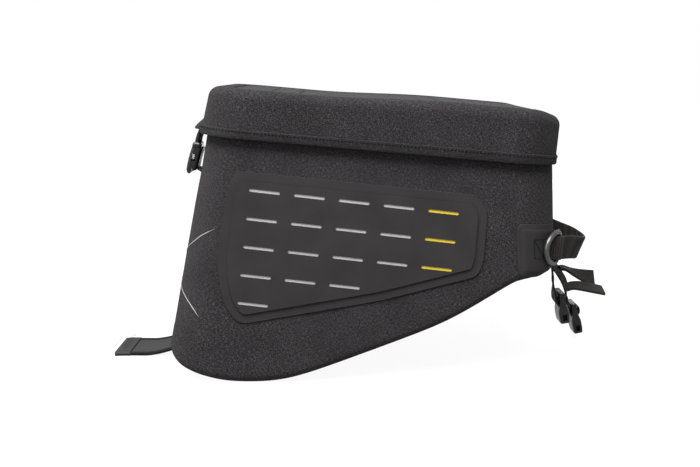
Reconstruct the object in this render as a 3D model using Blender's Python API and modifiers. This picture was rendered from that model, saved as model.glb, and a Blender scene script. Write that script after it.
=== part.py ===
"""Motorcycle tank bag: a tapered fabric-covered tub with a hinged lid, in metres.

The bag is modelled in its own frame, which the empty "bag_frame" carries: the origin is the
middle of the lid's top rim, +X points to the steering head, +Y to the rider's left and +Z out of
the lid. The empty tips that frame nose down, as the bag stands, and puts the middle of the flat
tank seat at the world origin.
"""

import math

import bmesh
import bpy
import numpy as np
from mathutils import Matrix, Vector

# How the bag stands
LID_TILT = math.radians(5.0)

# Lid
LID_LENGTH = 0.325
LID_WIDTH = 0.220
LID_HEIGHT = 0.043
LID_CORNER = 0.044
LID_REAR_LEAN = 0.14
LID_EDGE = 0.009
LID_WALL = 0.0035
RIM_WIDTH = 0.020
RECESS = 0.0025
HEM_HEIGHT = 0.008
HEM_THICKNESS = 0.0012
HINGE = Vector((0.1632, 0.0, -0.0445))

# Body: a rounded box whose walls lean out on the way down
MOUTH_Z = -LID_HEIGHT
RIM_TOP_Z = -0.016
REAR_X = -0.1565
FRONT_X = 0.1575
HALF_WIDTH = 0.104
REAR_LEAN = 0.105
FRONT_LEAN = 0.13
SIDE_LEAN = 0.045
CORNER = 0.040
WALL = 0.004
BOTTOM_ROUND = 0.008
SADDLE = 0.009
GAP = 0.0003

# Underside, seen from the side: a raised tail, a level stretch, the slope over the tank and a
# shallow nose
BELLY_X = -0.104
BELLY_Z = -0.260
BELLY_SLOPE = 0.0875
BELLY_BENDS = ((-0.068, 0.39, 0.012), (0.076, 0.25, 0.010), (0.134, -0.53, 0.003))
TAIL_X = -0.125
TAIL_BEND = 0.30
TAIL_WIDTH = 0.008

# Tank pad under the saddle
PAD_HALF_WIDTH = 0.052
PAD_THICKNESS = 0.005
PAD_STATIONS = (-0.120, -0.058, 0.066, 0.104)
SEAT_X = 0.004

# Side panels with their grid of slots
PANEL_CORNERS = (
    (-0.124, -0.0285), (0.0905, -0.0315), (0.1005, -0.0450), (0.1015, -0.0900),
    (0.0975, -0.1040), (0.0130, -0.1335), (-0.1130, -0.1665), (-0.1285, -0.1450),
    (-0.1355, -0.1110), (-0.1310, -0.0455),
)
PANEL_FLANGE = 0.0010
PANEL_THICKNESS = 0.0026
PANEL_BORDER = 0.008
PANEL_CORNER = 0.014
SLOT_LENGTH = 0.0275
SLOT_WIDTH = 0.003
SLOT_PITCH_X = 0.0398
SLOT_PITCH_Z = 0.0254
SLOT_TILT = math.radians(-1.55)
FIRST_SLOT = (-0.0977, -0.0448)
SLOT_ROWS = (5, 5, 5, 3, 1)
SHEET_THICKNESS = 0.0005
POCKET_DEPTH = 0.0011

# Welded patch round each front corner, counted in the outline's columns
PATCH_TOP_Z = -0.0965
PATCH_COLUMNS = 8
PATCH_WRAP = 34
PATCH_THICKNESS = 0.0012

# Webbing and hardware
HANDLE_WEBBING = 0.0220
HANDLE_Z = -0.1205
STRAP_WEBBING = 0.020
WEBBING_THICKNESS = 0.0014
RING_WIRE = 0.0020
RING_HEIGHT = 0.0284
RING_DEPTH = 0.020
RING_BAR = Vector((0.1685, -0.0905, HANDLE_Z))
RING_BACK = Vector((-0.66, -0.751, 0.0))
FRONT_STRAP_Y = 0.045
REAR_STRAP_WIDTH = 0.056

# Closure buckle on the rear face
BUCKLE_TILT = math.radians(3.0)
BUCKLE_TOP = Vector((-0.1742, 0.0, -0.0630))
BUCKLE_WIDTH = 0.025
BUCKLE_THICKNESS = 0.0115
FEMALE_LENGTH = 0.023
SOCKET_DEPTH = 0.0165
SOCKET_WIDTH = 0.020
SOCKET_THICKNESS = 0.007
MALE_PLATE = 0.0028

# Socket halves on the front straps
FRONT_SOCKET = 0.013

FABRIC = ("woven_fabric", (0.045, 0.043, 0.044), 0.85, 0.0)
TRIM = ("woven_trim", (0.055, 0.053, 0.054), 0.8, 0.0)
RUBBER = ("panel_rubber", (0.052, 0.050, 0.052), 0.6, 0.0)
FOAM = ("foam", (0.03, 0.03, 0.03), 0.95, 0.0)
BOARD = ("stiffener", (0.12, 0.12, 0.12), 0.7, 0.0)
WEBBING = ("webbing", (0.035, 0.035, 0.036), 0.8, 0.0)
PLASTIC = ("moulded_plastic", (0.02, 0.02, 0.02), 0.35, 0.0)
SILVER = ("reflective_silver", (0.48, 0.48, 0.47), 0.4, 0.0)
YELLOW = ("reflective_yellow", (0.80, 0.55, 0.08), 0.45, 0.0)


def clear_scene():
    for obj in list(bpy.data.objects):
        bpy.data.objects.remove(obj)


def new_collection(name):
    collection = bpy.data.collections.new(name)
    bpy.context.scene.collection.children.link(collection)
    return collection


def new_material(slot):
    name, colour, roughness, metallic = slot
    if name in bpy.data.materials:
        return bpy.data.materials[name]
    material = bpy.data.materials.new(name)
    material.use_nodes = True
    shader = material.node_tree.nodes["Principled BSDF"]
    shader.inputs["Base Color"].default_value = (*colour, 1.0)
    shader.inputs["Roughness"].default_value = roughness
    shader.inputs["Metallic"].default_value = metallic
    return material


def new_object(name, data, slot, frame):
    """An object under one of the frames, its coordinates being the bag's."""
    obj = bpy.data.objects.new(name, data)
    data.materials.clear()
    data.materials.append(new_material(slot))
    PARTS.objects.link(obj)
    obj.parent = frame
    if frame is not BAG:
        obj.location = -frame.location
    return obj


def mesh_object(name, points, faces, slot, frame):
    """An object from points and faces, with shared points merged and the faces turned out."""
    bm = bmesh.new()
    corners = [bm.verts.new(point) for point in points]
    for face in faces:
        bm.faces.new([corners[index] for index in face])
    return from_bmesh(name, bm, slot, frame)


def from_bmesh(name, bm, slot, frame):
    bmesh.ops.remove_doubles(bm, verts=bm.verts, dist=1e-6)
    bmesh.ops.dissolve_degenerate(bm, edges=bm.edges, dist=1e-7)
    bmesh.ops.recalc_face_normals(bm, faces=bm.faces)
    mesh = bpy.data.meshes.new(name)
    bm.to_mesh(mesh)
    bm.free()
    mesh.shade_smooth()
    mesh.set_sharp_from_angle(angle=math.radians(35))
    return new_object(name, mesh, slot, frame)


def joint_frame(name, origin, rotation=None):
    """An empty on a joint's axis, under the bag's frame."""
    empty = bpy.data.objects.new(name, None)
    PARTS.objects.link(empty)
    empty.parent = BAG
    empty.location = origin
    if rotation is not None:
        empty.rotation_euler = rotation.to_euler()
    return empty


def in_own_frame(obj):
    """For a piece whose coordinates are its frame's own, not the bag's."""
    obj.location = (0.0, 0.0, 0.0)
    return obj


def add_solidify(obj, thickness, offset):
    modifier = obj.modifiers.new("thickness", "SOLIDIFY")
    modifier.thickness = thickness
    modifier.offset = offset
    modifier.use_even_offset = True


def add_bevel(obj, width, segments=2):
    modifier = obj.modifiers.new("edges", "BEVEL")
    modifier.width = width
    modifier.segments = segments
    modifier.limit_method = "ANGLE"
    modifier.angle_limit = math.radians(50)


def add_boolean(obj, other, operation):
    """Cuts with or joins on another object, which moves to the cutters."""
    modifier = obj.modifiers.new(operation.lower(), "BOOLEAN")
    modifier.operation = operation
    modifier.solver = "EXACT"
    modifier.object = other
    other.hide_render = True
    other.display_type = "WIRE"
    PARTS.objects.unlink(other)
    CUTTERS.objects.link(other)


def add_cut(obj, cutter):
    add_boolean(obj, cutter, "DIFFERENCE")


def box_into(bm, size, centre):
    matrix = Matrix.Translation(centre) @ Matrix.Diagonal((*size, 1.0))
    bmesh.ops.create_cube(bm, size=1.0, matrix=matrix)


def box(name, size, centre, slot, frame):
    bm = bmesh.new()
    box_into(bm, size, centre)
    return from_bmesh(name, bm, slot, frame)


class Outline:
    """A rounded rectangle in plan that grows with depth: xy(depth, inset) gives its points."""

    def __init__(self, rear, front, half_width, corner, leans, steps=(10, 6, 7)):
        side_steps, end_steps, corner_steps = steps
        rear_lean, front_lean, side_lean = leans
        quarters = (
            (front, -half_width, front_lean, -side_lean, -90),
            (front, half_width, front_lean, side_lean, 0),
            (rear, half_width, -rear_lean, side_lean, 90),
            (rear, -half_width, -rear_lean, -side_lean, 180),
        )
        arcs = []
        for x, y, grow_x, grow_y, start in quarters:
            centre = (x - math.copysign(corner, x), y - math.copysign(corner, y))
            for step in range(corner_steps + 1):
                angle = math.radians(start + 90 * step / corner_steps)
                out = (math.cos(angle), math.sin(angle))
                point = (centre[0] + corner * out[0], centre[1] + corner * out[1])
                arcs.append((*point, grow_x, grow_y, *out))
        rows = []
        per_arc = corner_steps + 1
        for quarter, run in enumerate((end_steps, side_steps, end_steps, side_steps)):
            arc = arcs[quarter * per_arc : (quarter + 1) * per_arc]
            following = arcs[(quarter + 1) * per_arc % len(arcs)]
            rows.extend(arc)
            for step in range(1, run):
                share = step / run
                rows.append([a + share * (b - a) for a, b in zip(arc[-1], following)])
        table = np.array(rows)
        self.base = table[:, 0:2]
        self.growth = table[:, 2:4]
        self.out = table[:, 4:6]
        self.count = len(table)

    def xy(self, depth=0.0, inset=0.0):
        depth = np.broadcast_to(depth, self.count)[:, None]
        inset = np.broadcast_to(inset, self.count)[:, None]
        return self.base + depth * self.growth - inset * self.out

    def ring(self, z, depth=0.0, inset=0.0):
        xy = self.xy(depth, inset)
        z = np.broadcast_to(z, self.count)
        return [Vector((x, y, height)) for (x, y), height in zip(xy, z)]


def skin(rings, closed_across=False):
    """Points and faces of a surface through rings of equal length, each ring being closed."""
    count = len(rings[0])
    points = [point for ring in rings for point in ring]
    faces = []
    for row in range(len(rings) - (0 if closed_across else 1)):
        above = row * count
        below = (row + 1) % len(rings) * count
        for index in range(count):
            following = (index + 1) % count
            faces.append((above + index, above + following, below + following, below + index))
    return points, faces


def loft(name, loops, slot, frame):
    """A solid through closed loops of equal length, capped at both ends."""
    points, faces = skin(loops)
    last = len(points) - len(loops[0])
    faces.append(tuple(range(len(loops[0]))))
    faces.append(tuple(range(last, len(points))))
    return mesh_object(name, points, faces, slot, frame)


def soft_ramp(distance, width):
    """Zero, then rising one for one, with the bend smoothed over the width."""
    if distance > 40 * width:
        return distance
    return width * math.log1p(math.exp(distance / width))


def belly(x):
    """Height of the lower edge of the side skirts."""
    z = BELLY_Z + BELLY_SLOPE * (x - BELLY_X)
    for place, bend, width in BELLY_BENDS:
        z += bend * soft_ramp(x - place, width)
    return z + TAIL_BEND * soft_ramp(TAIL_X - x, TAIL_WIDTH)


def saddle(y):
    """How far the underside is raised over the tank, away from the side skirts."""
    share = min(max((HALF_WIDTH - 0.004 - abs(y)) / 0.040, 0.0), 1.0)
    return SADDLE * share * share * (3 - 2 * share)


def underside(x, y):
    return belly(x) + saddle(y)


def wall_depth(z):
    return MOUTH_Z - z


def wall_bottom(outline):
    """Depth of each wall line's lower end, where the bottom's rounding starts."""
    depth = np.full(outline.count, 0.15)
    for _ in range(20):
        xy = outline.xy(depth, BOTTOM_ROUND)
        ends = np.array([underside(x, y) + BOTTOM_ROUND for x, y in xy])
        depth = wall_depth(ends)
    return depth


def body_shell(outline):
    bottom = wall_bottom(outline)
    top = wall_depth(RIM_TOP_Z)
    rings = []
    for share in (0.0, 0.5, 1.0):
        depth = top + share * (bottom - top)
        rings.append(outline.ring(MOUTH_Z - depth, depth))
    for angle in (30, 60, 90):
        turn = math.radians(angle)
        inset = BOTTOM_ROUND * (1 - math.cos(turn))
        z = MOUTH_Z - bottom - BOTTOM_ROUND * math.sin(turn)
        rings.append(outline.ring(z, bottom, inset))
    rim = outline.xy(bottom, BOTTOM_ROUND)
    spine = 0.085
    for share in (0.8, 0.6, 0.35, 0.0):
        ring = []
        for x, y in rim:
            middle = max(-spine, min(spine, x))
            here = (middle + share * (x - middle), share * y)
            ring.append(Vector((*here, underside(*here))))
        rings.append(ring)
    points, faces = skin(rings)
    shell = mesh_object("body_shell", points, faces, FABRIC, BAG)
    add_solidify(shell, WALL, -1.0)


def band(name, outline, section, slot, frame):
    """A closed section, as (inset, z, depth) points, carried round an outline."""
    rings = [outline.ring(z, depth, inset) for inset, z, depth in section]
    points, faces = skin(rings, closed_across=True)
    return mesh_object(name, points, faces, slot, frame)


def rectangle_section(inner, outer, low, high):
    corners = ((outer, high), (outer, low), (inner, low), (inner, high))
    return [(inset, z, wall_depth(z)) for inset, z in corners]


def mouth_rim(outline):
    section = rectangle_section(WALL + 0.0030, WALL + GAP, -0.046, RIM_TOP_Z + 0.001)
    band("mouth_rim", outline, section, BOARD, BAG)


def floor_board(outline):
    """A stiff sheet that lies inside on the tub's floor, over the slope of the tank."""
    stations = np.linspace(-0.135, 0.120, 14)
    lift = WALL + 0.0012
    outline_points = [(x, belly(x) + SADDLE + lift) for x in stations]
    extruded_profile("floor_board", outline_points, 0.0022, 0.058, BOARD)


def extruded_profile(name, line, thickness, half_width, slot):
    """A sheet of one thickness whose side view follows a line of (x, z) points, going up from it."""
    loops = []
    for x, z in line:
        top = z + thickness
        corners = ((-half_width, z), (half_width, z), (half_width, top), (-half_width, top))
        loops.append([Vector((x, y, height)) for y, height in corners])
    return loft(name, loops, slot, BAG)


def tank_pad():
    """The anti-slip pad that fills the saddle. Its long middle face is the tank seat."""
    line = []
    for x in PAD_STATIONS:
        line.append((x, straight_belly(x) + SADDLE - PAD_THICKNESS - 0.0012))
    pad = extruded_profile("tank_pad", line, PAD_THICKNESS, PAD_HALF_WIDTH, RUBBER)
    add_bevel(pad, 0.0012)


def straight_belly(x):
    """The lower edge with sharp bends in place of smooth ones."""
    z = BELLY_Z + BELLY_SLOPE * (x - BELLY_X)
    for place, bend, _ in BELLY_BENDS:
        z += bend * max(x - place, 0.0)
    return z


def rounded_polygon(corners, radius, steps=4):
    """The corners joined by straight lines, each corner turned through an arc-like curve."""
    points = []
    count = len(corners)
    for index, corner in enumerate(corners):
        here = Vector(corner)
        before = Vector(corners[index - 1]) - here
        after = Vector(corners[(index + 1) % count]) - here
        reach = min(radius, 0.45 * before.length, 0.45 * after.length)
        start = here + before.normalized() * reach
        end = here + after.normalized() * reach
        for step in range(steps + 1):
            share = step / steps
            points.append((1 - share) ** 2 * start + 2 * share * (1 - share) * here + share**2 * end)
    return points


def stadium(length, width, steps=5):
    """A slot's outline about the origin, its long side along X."""
    half = (length - width) / 2
    radius = width / 2
    points = []
    for side, start in ((1, -90), (-1, 90)):
        for step in range(steps + 1):
            angle = math.radians(start + 180 * step / steps)
            points.append(Vector((side * half + radius * math.cos(angle), radius * math.sin(angle))))
    return points


def prism_into(bm, outline, low, high):
    """A straight-sided solid from a flat outline. Returns its top face."""
    if signed_area(outline) < 0:
        outline = list(reversed(outline))
    bottom = [bm.verts.new((point[0], point[1], low)) for point in outline]
    top = [bm.verts.new((point[0], point[1], high)) for point in outline]
    bm.faces.new(list(reversed(bottom)))
    cap = bm.faces.new(top)
    count = len(outline)
    for index in range(count):
        following = (index + 1) % count
        bm.faces.new((bottom[index], bottom[following], top[following], top[index]))
    return cap


def signed_area(outline):
    """Positive for an outline that runs counter-clockwise."""
    pairs = zip(outline, [*outline[1:], outline[0]])
    return 0.5 * sum(a[0] * b[1] - b[0] * a[1] for a, b in pairs)


def slot_places():
    """(x, height, column) of every slot on a side panel, with the height from the lid's edge."""
    along = Vector((math.cos(SLOT_TILT), math.sin(SLOT_TILT)))
    down = Vector((math.sin(SLOT_TILT), -math.cos(SLOT_TILT)))
    for row, columns in enumerate(SLOT_ROWS):
        for column in range(columns):
            place = Vector(FIRST_SLOT) + column * SLOT_PITCH_X * along + row * SLOT_PITCH_Z * down
            yield place.x, place.y, column


def side_frame(side):
    """An empty on the side wall, level with the lid's edge: X runs along, Y up and Z out."""
    lean = math.atan(SIDE_LEAN)
    up = Vector((0.0, side * math.sin(lean), math.cos(lean)))
    out = Vector((0.0, -side * math.cos(lean), math.sin(lean)))
    along = up.cross(out)
    rotation = Matrix((along, up, out)).transposed()
    name = "right" if side > 0 else "left"
    return joint_frame(f"side_{name}", Vector((0.0, -side * HALF_WIDTH, MOUTH_Z)), rotation)


def side_panel(side):
    """A moulded panel with slots, and the reflective sheets that show through them."""
    name = "right" if side > 0 else "left"
    frame = side_frame(side)
    corners = [(side * x, y) for x, y in PANEL_CORNERS]
    bm = bmesh.new()
    outline = rounded_polygon(corners, PANEL_CORNER)
    field = prism_into(bm, outline, GAP, GAP + PANEL_FLANGE)
    bmesh.ops.inset_region(bm, faces=[field], thickness=PANEL_BORDER, use_even_offset=True)
    step = PANEL_THICKNESS - PANEL_FLANGE
    bmesh.ops.inset_region(bm, faces=[field], thickness=0.0018, depth=step, use_even_offset=True)
    panel = in_own_frame(from_bmesh(f"side_panel_{name}", bm, RUBBER, frame))
    cutter = bmesh.new()
    for x, y, _ in slot_places():
        slot = [Vector((side * x + point.x, y + point.y)) for point in stadium(SLOT_LENGTH, SLOT_WIDTH)]
        prism_into(cutter, turned(slot, side * SLOT_TILT, (side * x, y)), 0.0, 2 * PANEL_THICKNESS)
    add_cut(panel, in_own_frame(from_bmesh(f"slot_cutter_{name}", cutter, RUBBER, frame)))
    for sheet, slot, columns in (("silver", SILVER, range(4)), ("yellow", YELLOW, range(4, 5))):
        outline = sheet_outline(side, columns)
        pocket = bmesh.new()
        prism_into(pocket, grown(outline, 0.0004), -GAP, GAP + POCKET_DEPTH)
        pocket_name = f"{sheet}_pocket_cutter_{name}"
        add_cut(panel, in_own_frame(from_bmesh(pocket_name, pocket, RUBBER, frame)))
        plate = bmesh.new()
        prism_into(plate, outline, 2 * GAP, 2 * GAP + SHEET_THICKNESS)
        in_own_frame(from_bmesh(f"{sheet}_sheet_{name}", plate, slot, frame))


def turned(points, angle, about):
    """Flat points turned about another."""
    centre = Vector(about)
    rotation = Matrix.Rotation(angle, 2)
    return [rotation @ (point - centre) + centre for point in points]


def sheet_outline(side, columns):
    """A polygon that covers the slots of these columns with a margin round them."""
    margin_x = SLOT_LENGTH / 2 + 0.0035
    margin_y = SLOT_WIDTH / 2 + 0.004
    places = [(x, y, column) for x, y, column in slot_places() if column in columns]
    top = max(y for _, y, _ in places) + margin_y
    left = min(x for x, _, _ in places) - margin_x
    right = max(x for x, _, _ in places) + margin_x
    lowest = min(y for _, y, _ in places) - margin_y
    lowest_right = min(y for _, y, column in places if column == max(columns)) - margin_y
    lowest_x = max(x for x, y, _ in places if y < lowest + 2 * margin_y) + margin_x
    corners = [(left, top), (right, top), (right, lowest_right)]
    if lowest_right - lowest > margin_y:
        corners.append((lowest_x, lowest))
    corners.append((left, lowest))
    return [Vector((side * x, y)) for x, y in corners]


def grown(points, margin):
    """A convex polygon moved out by a margin on every side."""
    centre = sum(points, Vector((0.0, 0.0))) / len(points)
    count = len(points)
    result = []
    for index, here in enumerate(points):
        before = (here - points[index - 1]).normalized()
        after = (points[(index + 1) % count] - here).normalized()
        normals = [Vector((edge.y, -edge.x)) for edge in (before, after)]
        normals = [normal if normal.dot(here - centre) > 0 else -normal for normal in normals]
        bisector = (normals[0] + normals[1]).normalized()
        result.append(here + bisector * margin / bisector.dot(normals[0]))
    return result


def smooth_path(points, steps=4):
    """A Catmull-Rom curve through the points."""
    points = [Vector(point) for point in points]
    ends = [2 * points[0] - points[1], *points, 2 * points[-1] - points[-2]]
    path = []
    for index in range(len(points) - 1):
        a, b, c, d = ends[index : index + 4]
        for step in range(steps):
            t = step / steps
            path.append(
                0.5 * (2 * b + (c - a) * t + (2 * a - 5 * b + 4 * c - d) * t**2
                       + (3 * b - a - 3 * c + d) * t**3)
            )
    path.append(points[-1])
    return path


def ribbon(name, path, across, slot, frame, thickness=WEBBING_THICKNESS):
    """Flat webbing along a path. across is half its width, one vector or one for each point."""
    path = [Vector(point) for point in path]
    if isinstance(across, Vector):
        across = [across] * len(path)
    loops = []
    for index, (here, half) in enumerate(zip(path, across)):
        tangent = path[min(index + 1, len(path) - 1)] - path[max(index - 1, 0)]
        normal = tangent.cross(half).normalized() * thickness / 2
        loops.append([
            here - half - normal, here + half - normal, here + half + normal, here - half + normal,
        ])
    return loft(name, loops, slot, frame)


def mirrored(points, side):
    """The right-hand piece's points for side 1, and the left-hand one's for side -1."""
    return [Vector((point[0], side * point[1], point[2])) for point in points]


def corner_patch(outline, side):
    """Welded patch round a front corner, under the handle's sewn end."""
    name = "right" if side > 0 else "left"
    top = wall_depth(PATCH_TOP_Z)
    bottom = wall_bottom(outline)
    turns = [math.radians(angle) for angle in (0, PATCH_WRAP / 2, PATCH_WRAP)]
    rings = []
    for offset, order in ((GAP, 1), (GAP + PATCH_THICKNESS, -1)):
        face = [outline.ring(PATCH_TOP_Z, top, -offset)]
        for turn in turns:
            reach = BOTTOM_ROUND + offset
            z = MOUTH_Z - bottom - reach * math.sin(turn)
            face.append(outline.ring(z, bottom, BOTTOM_ROUND - reach * math.cos(turn)))
        rings.extend(mirrored(ring, side) for ring in face[::order])
    loops = [[ring[column] for ring in rings] for column in range(PATCH_COLUMNS)]
    loft(f"corner_patch_{name}", loops, RUBBER, BAG)


def corner_point(angle, offset, z):
    """A point over the right front corner: angle from the side wall, offset out from the wall."""
    depth = wall_depth(z)
    centre_x = FRONT_X + FRONT_LEAN * depth - CORNER
    centre_y = -(HALF_WIDTH + SIDE_LEAN * depth - CORNER)
    turn = math.radians(angle)
    reach = CORNER + offset
    return Vector((centre_x + reach * math.sin(turn), centre_y - reach * math.cos(turn), z))


def handle_anchor(side):
    """The sewn end of the handle's webbing, which holds the ring's bar against the corner."""
    name = "right" if side > 0 else "left"
    path = []
    across = []
    for angle in (31, 35, 39):
        path.append(corner_point(angle, 0.0028, HANDLE_Z))
        turn = math.radians(angle)
        up = Vector((-FRONT_LEAN * math.sin(turn), SIDE_LEAN * math.cos(turn), 1.0))
        across.append(up.normalized() * HANDLE_WEBBING / 2)
    outward = Vector((-RING_BACK.y, RING_BACK.x, 0.0))
    for behind, out in ((0.0105, -0.0026), (0.0040, 0.0022), (0.0, 0.0032)):
        path.append(RING_BAR + behind * RING_BACK + out * outward)
        across.append(Vector((0.0, 0.0, HANDLE_WEBBING / 2)))
    ribbon(f"handle_anchor_{name}", mirrored(path, side), mirrored(across, side), WEBBING, BAG)


def ring_outline():
    """The D ring's centre line, its bar on the Z axis and its bow towards -X."""
    half = RING_HEIGHT / 2
    points = [Vector((0.0, 0.0, half * share)) for share in (-0.85, -0.4, 0.0, 0.4, 0.85)]
    for step in range(13):
        angle = math.radians(90 + 180 * step / 12)
        x = RING_DEPTH * math.cos(angle) * 0.86 - 0.0028
        points.append(Vector((x, 0.0, half * math.sin(angle))))
    return points


def d_ring(side):
    name = "right" if side > 0 else "left"
    back = Vector((RING_BACK.x, side * RING_BACK.y, 0.0)).normalized()
    along = -back
    out = Vector((0.0, 0.0, 1.0)).cross(along)
    rotation = Matrix((along, out, Vector((0.0, 0.0, 1.0)))).transposed()
    origin = Vector((RING_BAR.x, side * RING_BAR.y, RING_BAR.z))
    frame = joint_frame(f"ring_bar_{name}", origin, rotation)
    curve = bpy.data.curves.new(f"d_ring_{name}", "CURVE")
    curve.dimensions = "3D"
    curve.bevel_depth = RING_WIRE
    curve.bevel_resolution = 2
    spline = curve.splines.new("POLY")
    points = ring_outline()
    spline.points.add(len(points) - 1)
    for target, point in zip(spline.points, points):
        target.co = (*point, 1.0)
    spline.use_cyclic_u = True
    in_own_frame(new_object(f"d_ring_{name}", curve, PLASTIC, frame))


def handle_route():
    """Centre line and half width of the carry handle, from the right ring to the left one."""
    route = (
        (0.1745, -0.0860, 0.0), (0.1850, -0.0760, 0.0), (0.1945, -0.0620, 0.0),
        (0.2010, -0.0440, 0.0), (0.2045, -0.0220, 0.0), (0.2050, 0.0, 0.0005),
        (0.2035, 0.0220, 0.0020), (0.2000, 0.0440, 0.0045), (0.1940, 0.0620, 0.0055),
        (0.1850, 0.0760, 0.0035), (0.1745, 0.0860, 0.0),
    )
    path = smooth_path([(x, y, HANDLE_Z - sag) for x, y, sag in route], 3)
    across = []
    for point in path:
        share = min((0.086 - abs(point.y)) / 0.035, 1.0)
        lean = math.radians(18) * max(share, 0.0)
        across.append(Vector((math.sin(lean), 0.0, math.cos(lean))) * HANDLE_WEBBING / 2)
    return path, across


def carry_handle():
    frame = joint_frame("handle_swing", Vector((RING_BAR.x, 0.0, HANDLE_Z)))
    path, across = handle_route()
    ribbon("carry_handle", path, across, WEBBING, frame, 0.0026)


def front_strap(side):
    """One of the two straps that go round the steering head, with its buckle half and its tail."""
    name = "right" if side > 0 else "left"
    y = -side * FRONT_STRAP_Y
    across = Vector((0.0, STRAP_WEBBING / 2, 0.0))
    anchor = [(0.1420, y, -0.1385), (0.1560, y, -0.1370), (0.1690, y, -0.1362), (0.1755, y, -0.1380)]
    ribbon(f"front_strap_anchor_{name}", anchor, across, WEBBING, BAG)
    if side > 0:
        route = [
            (0.1770, y, -0.1405), (0.1780, y, -0.1490), (0.1798, y, -0.1570), (0.1836, y, -0.1628),
        ]
        bar = Vector((0.1868, y, -0.1665))
        lean = math.radians(14.5)
        length = 0.030
        tail = [
            (0.1922, y, -0.1640), (0.1978, y, -0.1602), (0.2060, y, -0.1588),
            (0.2160, y, -0.1584), (0.2265, y, -0.1580),
        ]
        twist = (0, 8, 18, 28, 34)
    else:
        route = [
            (0.1775, y, -0.1402), (0.1895, y, -0.1490), (0.2030, y, -0.1630),
            (0.2135, y, -0.1780), (0.2200, y, -0.1912),
        ]
        bar = Vector((0.2223, y, -0.1960))
        lean = math.radians(17.0)
        length = 0.032
        tail = [
            (0.2060, y, -0.1610), (0.2110, y, -0.1608), (0.2190, y, -0.1640),
            (0.2290, y, -0.1668), (0.2430, y, -0.1687),
        ]
        twist = (0, 4, 6, 8, 8)
    swing = joint_frame(f"front_strap_swing_{name}", Vector((0.1763, y, -0.1392)))
    ribbon(f"front_strap_{name}", smooth_path(route, 3), across, WEBBING, swing)
    turn = Matrix.Rotation(-lean, 3, "Y")
    buckle_frame = joint_frame(f"front_buckle_swing_{name}", bar, turn)
    front_buckle(f"front_buckle_{name}", buckle_frame, length)
    path = smooth_path(tail, 3)
    halves = []
    for index in range(len(path)):
        share = index / (len(path) - 1) * (len(twist) - 1)
        low = min(int(share), len(twist) - 2)
        angle = math.radians(twist[low] + (share - low) * (twist[low + 1] - twist[low]))
        halves.append(Vector((0.0, math.cos(angle), math.sin(angle))) * STRAP_WEBBING / 2)
    ribbon(f"front_strap_tail_{name}", path, halves, WEBBING, swing, 0.0024)


def front_buckle(name, frame, length):
    """Socket half of a side-release buckle, its strap bar at the origin and its mouth down."""
    width = 0.026
    thickness = 0.0105
    buckle = in_own_frame(box(name, (thickness, width, length), (0.0, 0.0, -length / 2), PLASTIC, frame))
    taper_ends(buckle.data, length, 0.80, 0.88)
    add_bevel(buckle, 0.0012)
    strap_slot = (3 * thickness, 0.0205, 0.0028)
    cuts = (
        ("socket", (0.0058, 0.0185, 2 * FRONT_SOCKET), (0.0, 0.0, -length)),
        ("window", (0.0058, 2 * width, 0.0080), (0.0, 0.0, -length * 0.70)),
        ("upper_slot", strap_slot, (0.0, 0.0, -0.0062)),
        ("lower_slot", strap_slot, (0.0, 0.0, -0.0125)),
    )
    cut_boxes(buckle, cuts, frame)


def cut_boxes(obj, cuts, frame):
    """Cuts boxes, given as (name, size, centre) in the frame's own coordinates, one by one."""
    for name, size, centre in cuts:
        add_cut(obj, in_own_frame(box(f"{obj.name}_{name}", size, centre, PLASTIC, frame)))


def taper_ends(mesh, length, top_share, bottom_share):
    """Narrows a hanging block's thickness towards its two ends."""
    bm = bmesh.new()
    bm.from_mesh(mesh)
    bmesh.ops.bisect_plane(
        bm, geom=[*bm.verts, *bm.edges, *bm.faces],
        plane_co=(0.0, 0.0, -length * 0.42), plane_no=(0.0, 0.0, 1.0),
    )
    for vertex in bm.verts:
        if vertex.co.z > -0.001:
            vertex.co.x *= top_share
        elif vertex.co.z < -length + 0.001:
            vertex.co.x *= bottom_share
            vertex.co.y *= 0.94
    bm.to_mesh(mesh)
    bm.free()


def rear_strap():
    """The wide strap under the rear edge, and its folded end."""
    across = Vector((0.0, REAR_STRAP_WIDTH / 2, 0.0))
    thick = 0.0028
    anchor = [(-0.1350, 0, -0.2530), (-0.1560, 0, -0.2506), (-0.1690, 0, -0.2550), (-0.1795, 0, -0.2601)]
    ribbon("rear_strap_anchor", anchor, across, WEBBING, BAG, thick)
    swing = joint_frame("rear_strap_swing", Vector((-0.1815, 0.0, -0.2613)))
    strap = [(-0.1836, 0, -0.2622), (-0.1960, 0, -0.2656), (-0.2100, 0, -0.2670), (-0.2240, 0, -0.2682)]
    ribbon("rear_strap", strap, across, WEBBING, swing, thick)
    end = [(-0.2244, 0, -0.2678), (-0.2330, 0, -0.2684), (-0.2420, 0, -0.2692)]
    ribbon("rear_strap_end", end, across * 0.99, WEBBING, swing, 0.0046)


def lid_shell(outline, hinge):
    profile = [(-LID_HEIGHT, 0.0), (-0.028, 0.0), (-LID_EDGE, 0.0)]
    for angle in (22.5, 45, 67.5, 90):
        turn = math.radians(angle)
        profile.append((-LID_EDGE * (1 - math.sin(turn)), LID_EDGE * (1 - math.cos(turn))))
    profile.extend([(0.0, RIM_WIDTH), (-RECESS, RIM_WIDTH + 0.0015)])
    rings = [outline.ring(z, wall_depth(z), inset) for z, inset in profile]
    points, faces = skin(rings)
    last = (len(rings) - 1) * outline.count
    faces.append(tuple(range(last, last + outline.count)))
    shell = mesh_object("lid_shell", points, faces, FABRIC, hinge)
    add_solidify(shell, LID_WALL, -1.0)


def lid_board(outline, hinge):
    high = -RECESS - LID_WALL - GAP
    bm = bmesh.new()
    prism_into(bm, outline.xy(wall_depth(high), 0.013), high - 0.002, high)
    from_bmesh("lid_board", bm, BOARD, hinge)


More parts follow.
